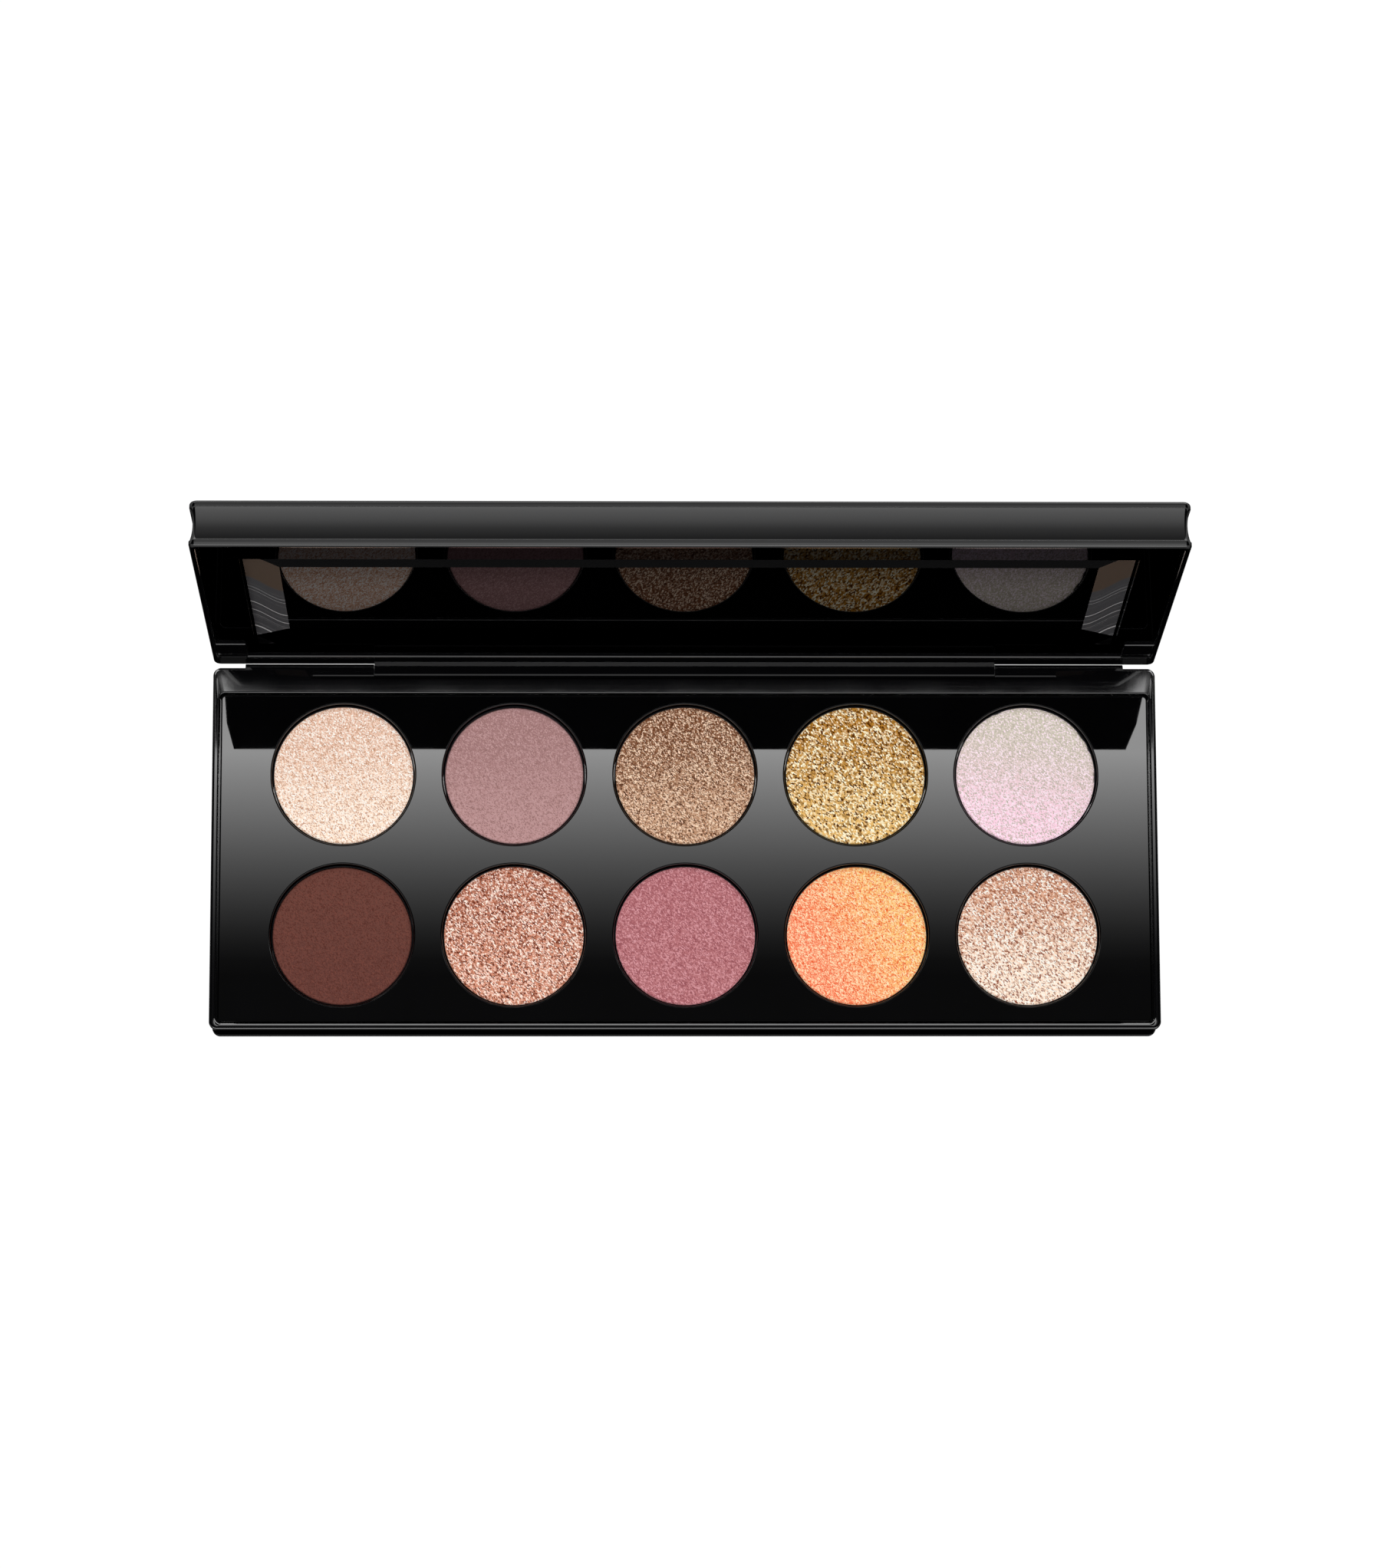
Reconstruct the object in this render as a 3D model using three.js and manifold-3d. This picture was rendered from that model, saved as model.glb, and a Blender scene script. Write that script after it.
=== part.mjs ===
// Ten-pan eyeshadow palette: a moulded case of two hinged halves, a tray of round pans and a bevelled mirror.
// Millimetres, +Z up, +X to the right, +Y towards the hinge.
// The origin is the middle of the base's underside.
import * as THREE from 'three';
import { mergeVertices } from 'three/addons/utils/BufferGeometryUtils.js';
import Module from 'manifold-3d';

const wasm = await Module();
wasm.setup();

// ---- Driving dimensions ----
const CASE_WIDTH = 176;
const CASE_DEPTH = 68;
const BASE_HEIGHT = 11;
const LID_HEIGHT = 8.6;
const PARTING_GAP = 0.25; // between the two rims when the case is shut
const CORNER_RADIUS = 1.5; // of the case, seen from above
const RIDGE_RADIUS = 0.7; // rounding of the ridges above and below the channel
const RIM_WIDTH = 1.2; // width of the rim round the tray and the mirror frame
const LEDGE_WIDTH = 0.9; // shelf inside the rim that the tray and the mirror frame sit on
const FLOOR_THICKNESS = 1.4; // of both shells
const SEAT_GAP = 0.3; // between a dropped-in piece and its neighbour

// The hollow channel that runs round all four sides of each half.
const CHANNEL_DEPTH = 0.65;
const CHANNEL_STEP = 0.15;
const CHANNEL_RIDGE = 1.25; // height left for each ridge

// The lid stands a little past upright, against its stop.
const LID_OPENING = THREE.MathUtils.degToRad(96.5);
const HINGE_Y = CASE_DEPTH / 2 - 0.6;
const HINGE_Z = BASE_HEIGHT - 1.4;
const BARREL_RADIUS = 1.3;
const BARREL_HALF = 57.8; // the lid's barrel runs this far each side of the middle
const KNUCKLE_RADIUS = 1.5; // the base's knuckles run on as a bead that closes the gap behind the lid
const KNUCKLE_START = 58.2;
const KNUCKLE_END = 82;
const POCKET_HALF = 69.4;
const POCKET_FRONT = 31.9;
const POCKET_FLOOR = HINGE_Z - 1.95;
const PIN_RADIUS = 0.65;
const PIN_BORE_RADIUS = 0.75;
const PIN_START = 50;
const PIN_END = 68.4;
const BORE_END = 69.3;
const STOP_TAB_ANGLE = THREE.MathUtils.degToRad(-20); // from +Y, with the lid shut
const STOP_TAB_REACH = 1.75;
const STOP_TAB_WIDTH = 8;
const STOP_TAB_X = 30;
const STOP_STEP_Y = HINGE_Y - 1.25; // the face that the tabs meet
const STOP_STEP_Z = HINGE_Z - 0.8;

// The tray and its pans.
const TRAY_FRONT = -CASE_DEPTH / 2 + RIM_WIDTH;
const TRAY_BACK = 29.2;
const TRAY_TOP = BASE_HEIGHT - 0.6;
const TRAY_THICKNESS = 1.3;
const PAN_PITCH_X = 31.8;
const PAN_PITCH_Y = 30.2;
const PAN_MIDDLE_Y = -1.2;
const HOLE_RADIUS = 13.3;
const HOLE_CHAMFER = 0.15;
const CUP_WALL = 0.8;
const CUP_FLOOR_Z = 5.1; // upper face of each cup's floor
const PAN_RADIUS = 13.15;
const PAN_WALL = 0.2;
const PAN_HEIGHT = 3.8;
const POWDER_RADIUS = 12.92;
const POWDER_EDGE = 3.55; // height of the powder's side above the pan's underside
const POWDER_CROWN = 3.95; // height of its middle
const GLUE_RADIUS = 4;
const GLUE_THICKNESS = 0.3;
const POST_RADIUS = 2;

// The mirror and its frame, in the lid.
const LID_PARTING = BASE_HEIGHT + PARTING_GAP;
const FRAME_RECESS = 0.5;
const FRAME_THICKNESS = 3.6;
const FRAME_BACK = 28.9;
const CORNER_BLOCK_X = 81.3;
const CORNER_BLOCK_Y = 21.9;
const MIRROR_WIDTH = 159.2;
const MIRROR_FRONT = -25.4;
const MIRROR_BACK = 22.7;
const MIRROR_RECESS = 0.8; // from the frame's face to the glass
const MIRROR_THICKNESS = 1.2;
const MIRROR_BEVEL = 6.4;
const MIRROR_BEVEL_DROP = 0.8;
const TAPE_THICKNESS = 0.2;
const TAPE_MARGIN = 6;

// The closing magnets.
const MAGNET_RADIUS = 2;
const MAGNET_HEIGHT = 2;
const MAGNET_X = 1.5 * PAN_PITCH_X;
const MAGNET_Y = -29.8;
const MAGNET_POST_RADIUS = 3.2;

const ROUND_SEGMENTS = 32; // of pans, powders and tray holes
const SMALL_SEGMENTS = 16; // of pins, barrels and magnets

// The ten shades, left to right, back row first.
const SHADES = [
  { name: 'champagne', colour: 0xf0d3c0, roughness: 0.55, metalness: 0.2 },
  { name: 'mauve', colour: 0xaf8887, roughness: 0.9, metalness: 0 },
  { name: 'taupe', colour: 0xb18c73, roughness: 0.5, metalness: 0.4 },
  { name: 'gold', colour: 0xcca97d, roughness: 0.4, metalness: 0.6 },
  { name: 'opal', colour: 0xe7cdce, roughness: 0.5, metalness: 0.3 },
  { name: 'maroon', colour: 0x683e37, roughness: 0.95, metalness: 0 },
  { name: 'copper', colour: 0xcd9b88, roughness: 0.4, metalness: 0.6 },
  { name: 'rose', colour: 0xba7a80, roughness: 0.5, metalness: 0.3 },
  { name: 'coral', colour: 0xfcb285, roughness: 0.5, metalness: 0.3 },
  { name: 'blush', colour: 0xe3c1ad, roughness: 0.4, metalness: 0.5 },
];

// ---- From three.js geometry to cut and joined solids, and back ----
function solid(geometry) {
  const bare = geometry.clone();
  bare.deleteAttribute('normal');
  bare.deleteAttribute('uv');
  const welded = mergeVertices(bare, 1e-4);
  const corners = [];
  for (let i = 0; i < welded.index.count; i += 3) {
    const [a, b, c] = [0, 1, 2].map((k) => welded.index.getX(i + k));
    if (a !== b && b !== c && c !== a) corners.push(a, b, c);
  }
  const vertProperties = new Float32Array(welded.attributes.position.array);
  return new wasm.Manifold(new wasm.Mesh({ numProp: 3, vertProperties, triVerts: new Uint32Array(corners) }));
}

function geometryOf(body) {
  const { vertProperties, triVerts } = body.getMesh();
  const geometry = new THREE.BufferGeometry();
  geometry.setAttribute('position', new THREE.BufferAttribute(new Float32Array(vertProperties), 3));
  geometry.setIndex(new THREE.BufferAttribute(new Uint32Array(triVerts), 1));
  geometry.computeVertexNormals();
  return geometry;
}

// ---- Shapes that the pieces share ----
function roundedRectangle(left, right, front, back, radius) {
  const shape = new THREE.Shape();
  shape.absarc(right - radius, front + radius, radius, -Math.PI / 2, 0);
  shape.absarc(right - radius, back - radius, radius, 0, Math.PI / 2);
  shape.absarc(left + radius, back - radius, radius, Math.PI / 2, Math.PI);
  shape.absarc(left + radius, front + radius, radius, Math.PI, 1.5 * Math.PI);
  shape.closePath();
  return shape;
}

// A flat slab of an outline, from one height to another.
function slab(outline, low, high) {
  const depth = high - low;
  const geometry = new THREE.ExtrudeGeometry(outline, { depth, bevelEnabled: false, curveSegments: 4 });
  return solid(geometry.translate(0, 0, low));
}

function box(left, right, front, back, low, high) {
  const geometry = new THREE.BoxGeometry(right - left, back - front, high - low);
  return solid(geometry.translate((left + right) / 2, (front + back) / 2, (low + high) / 2));
}

// A round post or hole that stands up from one height to another.
function post(x, y, radius, low, high, segments = SMALL_SEGMENTS) {
  const geometry = new THREE.CylinderGeometry(radius, radius, high - low, segments);
  return solid(geometry.rotateX(Math.PI / 2).translate(x, y, (low + high) / 2));
}

// A rod along X on the hinge axis.
function hingeRod(radius, left, right) {
  const geometry = new THREE.CylinderGeometry(radius, radius, right - left, SMALL_SEGMENTS);
  return solid(geometry.rotateZ(Math.PI / 2).translate((left + right) / 2, HINGE_Y, HINGE_Z));
}

// A turned shape that stands at a place; its profile is a list of [radius, height].
function turned(profile, x, y, z) {
  const points = profile.map(([radius, height]) => new THREE.Vector2(radius, height));
  const geometry = new THREE.LatheGeometry(points, ROUND_SEGMENTS);
  return geometry.rotateX(Math.PI / 2).translate(x, y, z);
}

// One half of the case before it is hollowed: a block with rounded ridges top and bottom.
function caseBlock(low, high) {
  const round = RIDGE_RADIUS;
  const x = CASE_WIDTH / 2 - round;
  const y = CASE_DEPTH / 2 - round;
  const geometry = new THREE.ExtrudeGeometry(roundedRectangle(-x, x, -y, y, CORNER_RADIUS - round), {
    depth: high - low - 2 * round,
    bevelThickness: round,
    bevelSize: round,
    bevelSegments: 3,
    curveSegments: 4,
  });
  return solid(geometry.translate(0, 0, low + round));
}

// What the channel takes away: a hollow curve turned round one corner's radius, whose quarters are then
// pulled apart to the four corners. The half-step start keeps every column off the axes.
function channelRing(low, high) {
  const bottom = low + CHANNEL_RIDGE;
  const top = high - CHANNEL_RIDGE;
  const outside = CORNER_RADIUS + 1;
  const lip = CORNER_RADIUS - CHANNEL_STEP;
  const curve = new THREE.QuadraticBezierCurve(
    new THREE.Vector2(lip, bottom),
    new THREE.Vector2(CORNER_RADIUS - 2 * CHANNEL_DEPTH + CHANNEL_STEP, (bottom + top) / 2),
    new THREE.Vector2(lip, top),
  );
  const profile = [
    new THREE.Vector2(outside, bottom),
    ...curve.getPoints(8),
    new THREE.Vector2(outside, top),
    new THREE.Vector2(outside, bottom),
  ];
  const columns = 16;
  const geometry = new THREE.LatheGeometry(profile.reverse(), columns, Math.PI / columns);
  geometry.rotateX(Math.PI / 2);
  const points = geometry.attributes.position;
  for (let i = 0; i < points.count; i++) {
    points.setX(i, points.getX(i) + Math.sign(points.getX(i)) * (CASE_WIDTH / 2 - CORNER_RADIUS));
    points.setY(i, points.getY(i) + Math.sign(points.getY(i)) * (CASE_DEPTH / 2 - CORNER_RADIUS));
  }
  return solid(geometry);
}

// Each shade with the place of its pan.
function panPlaces() {
  return SHADES.map((shade, index) => {
    const column = index % 5;
    const row = Math.floor(index / 5);
    return { shade, x: (column - 2) * PAN_PITCH_X, y: PAN_MIDDLE_Y + (0.5 - row) * PAN_PITCH_Y };
  });
}

// ---- The base ----
function baseShell() {
  const inner = CASE_WIDTH / 2 - RIM_WIDTH;
  const seatFloor = TRAY_TOP - TRAY_THICKNESS;
  const seat = roundedRectangle(-inner, inner, TRAY_FRONT, TRAY_BACK, 1.1);
  const ledge = LEDGE_WIDTH;
  const hollow = roundedRectangle(-inner + ledge, inner - ledge, TRAY_FRONT + ledge, TRAY_BACK - ledge, 1);
  let shell = caseBlock(0, BASE_HEIGHT)
    .subtract(channelRing(0, BASE_HEIGHT))
    .subtract(slab(seat, seatFloor, BASE_HEIGHT + 1))
    .subtract(slab(hollow, FLOOR_THICKNESS, BASE_HEIGHT));
  // Posts under the tray, midway between four pans.
  for (const column of [-1.5, -0.5, 0.5, 1.5]) {
    const x = column * PAN_PITCH_X;
    shell = shell.add(post(x, PAN_MIDDLE_Y, POST_RADIUS, FLOOR_THICKNESS - 0.5, seatFloor - 0.1));
  }
  // Magnet posts behind the front wall.
  for (const side of [-1, 1]) {
    const x = side * MAGNET_X;
    const top = seatFloor - 0.1;
    const magnetPost = post(x, MAGNET_Y, MAGNET_POST_RADIUS, FLOOR_THICKNESS - 0.5, top)
      .intersect(box(x - 9, x + 9, TRAY_FRONT, 0, 0, BASE_HEIGHT));
    const socket = post(x, MAGNET_Y, MAGNET_RADIUS + 0.1, top - MAGNET_HEIGHT - 0.1, top + 1);
    shell = shell.add(magnetPost).subtract(socket);
  }
  // The hinge pocket, open to the back, with a step that stops the lid's tabs, and a knuckle at each end.
  const back = CASE_DEPTH / 2;
  const under = POCKET_FLOOR - 0.5; // what is added here grows out of the pocket's floor
  const pocket = box(-POCKET_HALF, POCKET_HALF, POCKET_FRONT, back + 5, POCKET_FLOOR, BASE_HEIGHT + 1);
  shell = shell.subtract(pocket);
  for (const side of [-1, 1]) {
    const x = side * STOP_TAB_X;
    const reach = STOP_TAB_WIDTH / 2 + 1;
    const step = box(x - reach, x + reach, POCKET_FRONT - 0.5, STOP_STEP_Y, under, STOP_STEP_Z);
    const [left, right] = [side * KNUCKLE_START, side * KNUCKLE_END].sort((a, b) => a - b);
    const web = box(left, right, HINGE_Y - KNUCKLE_RADIUS, back, under, HINGE_Z);
    const bore = [side * (KNUCKLE_START - 0.3), side * BORE_END].sort((a, b) => a - b);
    shell = shell
      .add(step)
      .add(web)
      .add(hingeRod(KNUCKLE_RADIUS, left, right))
      .subtract(hingeRod(PIN_BORE_RADIUS, ...bore))
      .subtract(box(left - 1, right + 1, POCKET_FRONT - 1, back + 1, BASE_HEIGHT, BASE_HEIGHT + 1));
  }
  return shell;
}

function tray() {
  const side = CASE_WIDTH / 2 - RIM_WIDTH - SEAT_GAP;
  const outline = roundedRectangle(-side, side, TRAY_FRONT + SEAT_GAP, TRAY_BACK - SEAT_GAP, 0.9);
  const plateBottom = TRAY_TOP - TRAY_THICKNESS;
  let body = slab(outline, plateBottom, TRAY_TOP);
  const cupBottom = CUP_FLOOR_Z - CUP_WALL;
  for (const { x, y } of panPlaces()) {
    body = body.add(post(x, y, HOLE_RADIUS + CUP_WALL, cupBottom, plateBottom + 0.5, ROUND_SEGMENTS));
  }
  const above = 0.5;
  for (const { x, y } of panPlaces()) {
    const opening = turned([
      [0, CUP_FLOOR_Z],
      [HOLE_RADIUS, CUP_FLOOR_Z],
      [HOLE_RADIUS, TRAY_TOP - HOLE_CHAMFER],
      [HOLE_RADIUS + HOLE_CHAMFER + above, TRAY_TOP + above],
      [0, TRAY_TOP + above],
    ], x, y, 0);
    body = body.subtract(solid(opening));
  }
  return body;
}

function pan(x, y, z) {
  const inside = PAN_RADIUS - PAN_WALL;
  return turned([
    [0, 0],
    [PAN_RADIUS - 0.4, 0],
    [PAN_RADIUS, 0.4],
    [PAN_RADIUS, PAN_HEIGHT],
    [inside, PAN_HEIGHT],
    [inside, PAN_WALL],
    [0, PAN_WALL],
  ], x, y, z);
}

function powder(x, y, z) {
  const underside = PAN_WALL + 0.03;
  return turned([
    [0, underside],
    [POWDER_RADIUS, underside],
    [POWDER_RADIUS, POWDER_EDGE],
    [POWDER_RADIUS - 0.4, POWDER_EDGE + 0.3],
    [POWDER_RADIUS / 2, POWDER_CROWN - 0.05],
    [0, POWDER_CROWN],
  ], x, y, z);
}

// ---- The lid, drawn shut ----
function lidShell() {
  const top = LID_PARTING + LID_HEIGHT;
  const inner = CASE_WIDTH / 2 - RIM_WIDTH;
  const front = TRAY_FRONT;
  const seatTop = LID_PARTING + FRAME_RECESS + FRAME_THICKNESS + SEAT_GAP;
  const blocks = box(CORNER_BLOCK_X, inner + 1, CORNER_BLOCK_Y, TRAY_BACK + 1, 0, top)
    .add(box(-inner - 1, -CORNER_BLOCK_X, CORNER_BLOCK_Y, TRAY_BACK + 1, 0, top));
  const seatOutline = roundedRectangle(-inner, inner, front, TRAY_BACK, 1.1);
  const seat = slab(seatOutline, LID_PARTING - 1, seatTop).subtract(blocks);
  const ledge = LEDGE_WIDTH;
  const hollow = roundedRectangle(
    -CORNER_BLOCK_X + ledge, CORNER_BLOCK_X - ledge, front + ledge, CORNER_BLOCK_Y + 4, 1,
  );
  const back = CASE_DEPTH / 2;
  let shell = caseBlock(LID_PARTING, top)
    .subtract(channelRing(LID_PARTING, top))
    .subtract(seat)
    .subtract(slab(hollow, LID_PARTING, top - FLOOR_THICKNESS));
  // The barrel hangs below the back wall on a web, and its tabs meet the pocket's step when the lid is open.
  const web = box(-BARREL_HALF, BARREL_HALF, HINGE_Y - BARREL_RADIUS, back, HINGE_Z, LID_PARTING + 1);
  shell = shell.add(web).add(hingeRod(BARREL_RADIUS, -BARREL_HALF, BARREL_HALF));
  for (const side of [-1, 1]) {
    const tab = new THREE.BoxGeometry(STOP_TAB_WIDTH, STOP_TAB_REACH - 0.5, 0.7)
      .translate(0, (STOP_TAB_REACH + 0.5) / 2, 0)
      .rotateX(STOP_TAB_ANGLE)
      .translate(side * STOP_TAB_X, HINGE_Y, HINGE_Z);
    const [left, right] = [side * (PIN_START - 0.5), side * (BARREL_HALF + 1)].sort((a, b) => a - b);
    shell = shell.add(solid(tab)).subtract(hingeRod(PIN_BORE_RADIUS, left, right));
  }
  return shell;
}

function mirrorFrame() {
  const side = CASE_WIDTH / 2 - RIM_WIDTH - SEAT_GAP;
  const low = LID_PARTING + FRAME_RECESS;
  const high = low + FRAME_THICKNESS;
  const outline = roundedRectangle(-side, side, TRAY_FRONT + SEAT_GAP, FRAME_BACK, 0.9);
  const blockX = CORNER_BLOCK_X - SEAT_GAP;
  const blockY = CORNER_BLOCK_Y - SEAT_GAP;
  const opening = roundedRectangle(-MIRROR_WIDTH / 2, MIRROR_WIDTH / 2, MIRROR_FRONT, MIRROR_BACK, 0.4);
  const openingTop = low + MIRROR_RECESS + MIRROR_THICKNESS + TAPE_THICKNESS + 2 * SEAT_GAP;
  let frame = slab(outline, low, high)
    .subtract(box(blockX, side + 1, blockY, FRAME_BACK + 1, 0, high + 1))
    .subtract(box(-side - 1, -blockX, blockY, FRAME_BACK + 1, 0, high + 1))
    .subtract(slab(opening, low - 1, openingTop));
  const socketFloor = high - MAGNET_HEIGHT - SEAT_GAP;
  for (const x of [-MAGNET_X, MAGNET_X]) {
    frame = frame.subtract(post(x, MAGNET_Y, MAGNET_RADIUS + 0.2, socketFloor, high + 1));
  }
  return frame;
}

// The glass, bevelled along all four edges of its face, which looks down when the lid is shut.
function mirrorGlass() {
  const x = MIRROR_WIDTH / 2 - SEAT_GAP;
  const front = MIRROR_FRONT + SEAT_GAP;
  const back = MIRROR_BACK - SEAT_GAP;
  const face = LID_PARTING + FRAME_RECESS + MIRROR_RECESS;
  const bevel = MIRROR_BEVEL;
  const flat = new THREE.Shape([
    new THREE.Vector2(-x + bevel, front + bevel),
    new THREE.Vector2(x - bevel, front + bevel),
    new THREE.Vector2(x - bevel, back - bevel),
    new THREE.Vector2(-x + bevel, back - bevel),
  ]);
  const blank = new THREE.ExtrudeGeometry(flat, {
    depth: 2 * MIRROR_THICKNESS,
    bevelThickness: MIRROR_BEVEL_DROP,
    bevelSize: bevel,
    bevelSegments: 1,
  });
  blank.translate(0, 0, face + MIRROR_BEVEL_DROP);
  return solid(blank).intersect(box(-x - 1, x + 1, front - 1, back + 1, face - 1, face + MIRROR_THICKNESS));
}

function mirrorTape() {
  const low = LID_PARTING + FRAME_RECESS + MIRROR_RECESS + MIRROR_THICKNESS + SEAT_GAP;
  const x = MIRROR_WIDTH / 2 - TAPE_MARGIN;
  return box(-x, x, MIRROR_FRONT + TAPE_MARGIN, MIRROR_BACK - TAPE_MARGIN, low, low + TAPE_THICKNESS);
}

// ---- Materials, one for each piece ----
function glossPlastic() {
  return new THREE.MeshStandardMaterial({ color: 0x0a0a0b, roughness: 0.12, metalness: 0 });
}

function metal(colour, roughness) {
  return new THREE.MeshStandardMaterial({ color: colour, roughness, metalness: 1 });
}

function pressedPowder({ colour, roughness, metalness }) {
  return new THREE.MeshStandardMaterial({ color: colour, roughness, metalness });
}

// ---- Assembly ----
const palette = new THREE.Group();
const lidPivot = new THREE.Group();
lidPivot.position.set(0, HINGE_Y, HINGE_Z);
lidPivot.rotation.x = -LID_OPENING;
const lid = new THREE.Group();
lid.position.set(0, -HINGE_Y, -HINGE_Z);
lidPivot.add(lid);
palette.add(lidPivot);

function place(group, name, geometry, material) {
  const mesh = new THREE.Mesh(geometry, material);
  mesh.name = name;
  group.add(mesh);
}

place(palette, 'base_shell', geometryOf(baseShell()), glossPlastic());
place(palette, 'pan_tray', geometryOf(tray()), glossPlastic());

const panZ = CUP_FLOOR_Z + GLUE_THICKNESS;
for (const { shade, x, y } of panPlaces()) {
  const glue = post(x, y, GLUE_RADIUS, CUP_FLOOR_Z, panZ);
  const glueLook = new THREE.MeshStandardMaterial({ color: 0xe9e2c8, roughness: 0.5, metalness: 0 });
  place(palette, `glue_dot_${shade.name}`, geometryOf(glue), glueLook);
  place(palette, `pan_${shade.name}`, geometryOf(solid(pan(x, y, panZ))), metal(0x2a2a2c, 0.35));
  place(palette, `powder_${shade.name}`, geometryOf(solid(powder(x, y, panZ))), pressedPowder(shade));
}

const baseMagnetTop = TRAY_TOP - TRAY_THICKNESS - 0.1;
const lidMagnetTop = LID_PARTING + FRAME_RECESS + FRAME_THICKNESS;
for (const [side, word] of [[-1, 'left'], [1, 'right']]) {
  const x = side * MAGNET_X;
  const low = post(x, MAGNET_Y, MAGNET_RADIUS, baseMagnetTop - MAGNET_HEIGHT, baseMagnetTop);
  const high = post(x, MAGNET_Y, MAGNET_RADIUS, lidMagnetTop - MAGNET_HEIGHT, lidMagnetTop);
  const pin = hingeRod(PIN_RADIUS, ...[side * PIN_START, side * PIN_END].sort((a, b) => a - b));
  place(palette, `base_magnet_${word}`, geometryOf(low), metal(0xc9c9cc, 0.25));
  place(lid, `lid_magnet_${word}`, geometryOf(high), metal(0xc9c9cc, 0.25));
  place(palette, `hinge_pin_${word}`, geometryOf(pin), metal(0xb8babd, 0.3));
}

place(lid, 'lid_shell', geometryOf(lidShell()), glossPlastic());
place(lid, 'mirror_frame', geometryOf(mirrorFrame()), glossPlastic());
place(lid, 'mirror_glass', geometryOf(mirrorGlass()), metal(0xe6e9ea, 0.02));
const tapeLook = new THREE.MeshStandardMaterial({ color: 0xf2f2ee, roughness: 0.8, metalness: 0 });
place(lid, 'mirror_tape', geometryOf(mirrorTape()), tapeLook);

export default palette;
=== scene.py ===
from math import atan2, cos, hypot, pi, radians, sin

import bmesh
import bpy
from mathutils import Matrix, Vector, noise


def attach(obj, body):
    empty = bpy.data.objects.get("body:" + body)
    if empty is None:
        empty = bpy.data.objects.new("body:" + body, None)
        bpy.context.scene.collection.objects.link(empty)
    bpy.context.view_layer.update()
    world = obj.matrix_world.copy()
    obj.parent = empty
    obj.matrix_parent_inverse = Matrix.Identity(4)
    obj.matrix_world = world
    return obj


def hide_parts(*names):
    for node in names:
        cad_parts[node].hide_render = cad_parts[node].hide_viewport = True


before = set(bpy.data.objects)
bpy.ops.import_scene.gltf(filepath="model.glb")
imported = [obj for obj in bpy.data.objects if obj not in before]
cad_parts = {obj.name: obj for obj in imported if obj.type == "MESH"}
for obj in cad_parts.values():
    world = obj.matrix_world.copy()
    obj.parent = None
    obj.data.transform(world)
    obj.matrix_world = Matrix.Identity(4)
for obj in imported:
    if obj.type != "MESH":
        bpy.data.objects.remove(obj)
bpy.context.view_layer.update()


# ---- Camera: almost straight above the open palette, a little in front of it ----
CAMERA_PLACE = (-0.017175, -0.159838, 0.98353)
CAMERA_TILT, CAMERA_SWING, CAMERA_ROLL = 0.174887, -0.018312, 0.000656  # radians, from straight down
SENSOR = 36
LENS_PER_SENSOR = 3.38395

camera = bpy.data.objects.new("camera", bpy.data.cameras.new("camera"))
camera.data.sensor_width = SENSOR
camera.data.lens = SENSOR * LENS_PER_SENSOR
camera.data.clip_start, camera.data.clip_end = 0.01, 100
camera.matrix_world = (
    Matrix.Translation(CAMERA_PLACE)
    @ Matrix.Rotation(CAMERA_TILT, 4, "X")
    @ Matrix.Rotation(CAMERA_SWING, 4, "Y")
    @ Matrix.Rotation(CAMERA_ROLL, 4, "Z")
)
bpy.context.scene.collection.objects.link(camera)
bpy.context.scene.camera = camera
bpy.context.scene.view_settings.view_transform = "Standard"


# ---- Floor and backdrop: a white sweep, lit until it is clean white ----
# Neither shows in the gloss of the plastic, so the black mouldings stay black, as on a flagged table.
def linear(colour):
    """An sRGB hex colour as linear red, green, blue and alpha."""
    parts = [int(colour[i : i + 2], 16) / 255 for i in (1, 3, 5)]
    return [c / 12.92 if c <= 0.04045 else ((c + 0.055) / 1.055) ** 2.4 for c in parts] + [1]


def add_node(tree, kind, inputs=None, **settings):
    """A node with its settings, and a value or a link for each input that is given."""
    made = tree.nodes.new(kind)
    for name, value in settings.items():
        setattr(made, name, value)
    for socket, value in (inputs or {}).items():
        if isinstance(value, bpy.types.NodeSocket):
            tree.links.new(value, made.inputs[socket])
        else:
            made.inputs[socket].default_value = value
    return made


def new_tree(name):
    """A new material, and its emptied node tree."""
    material = bpy.data.materials.new(name)
    material.use_nodes = True
    material.node_tree.nodes.clear()
    return material, material.node_tree


def place_on_set(name, bm, material):
    """A mesh for the set round the palette, in metres."""
    mesh = bpy.data.meshes.new(name)
    bm.to_mesh(mesh)
    bm.free()
    mesh.materials.append(material)
    made = bpy.data.objects.new(name, mesh)
    bpy.context.scene.collection.objects.link(made)
    return made


FLOOR_RADIUS = 20

white_paper, tree = new_tree("white_paper_sweep")
coordinates = add_node(tree, "ShaderNodeTexCoord")
grain = add_node(tree, "ShaderNodeTexNoise", {"Vector": coordinates.outputs["Object"], "Scale": 30})
tone = add_node(tree, "ShaderNodeMapRange", {"Value": grain.outputs["Fac"], "To Min": 1.02, "To Max": 1.06})
glow = add_node(tree, "ShaderNodeEmission", {"Color": linear("#FFFFFF"), "Strength": tone.outputs[0]})
add_node(tree, "ShaderNodeOutputMaterial", {"Surface": glow.outputs[0]})

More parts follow.
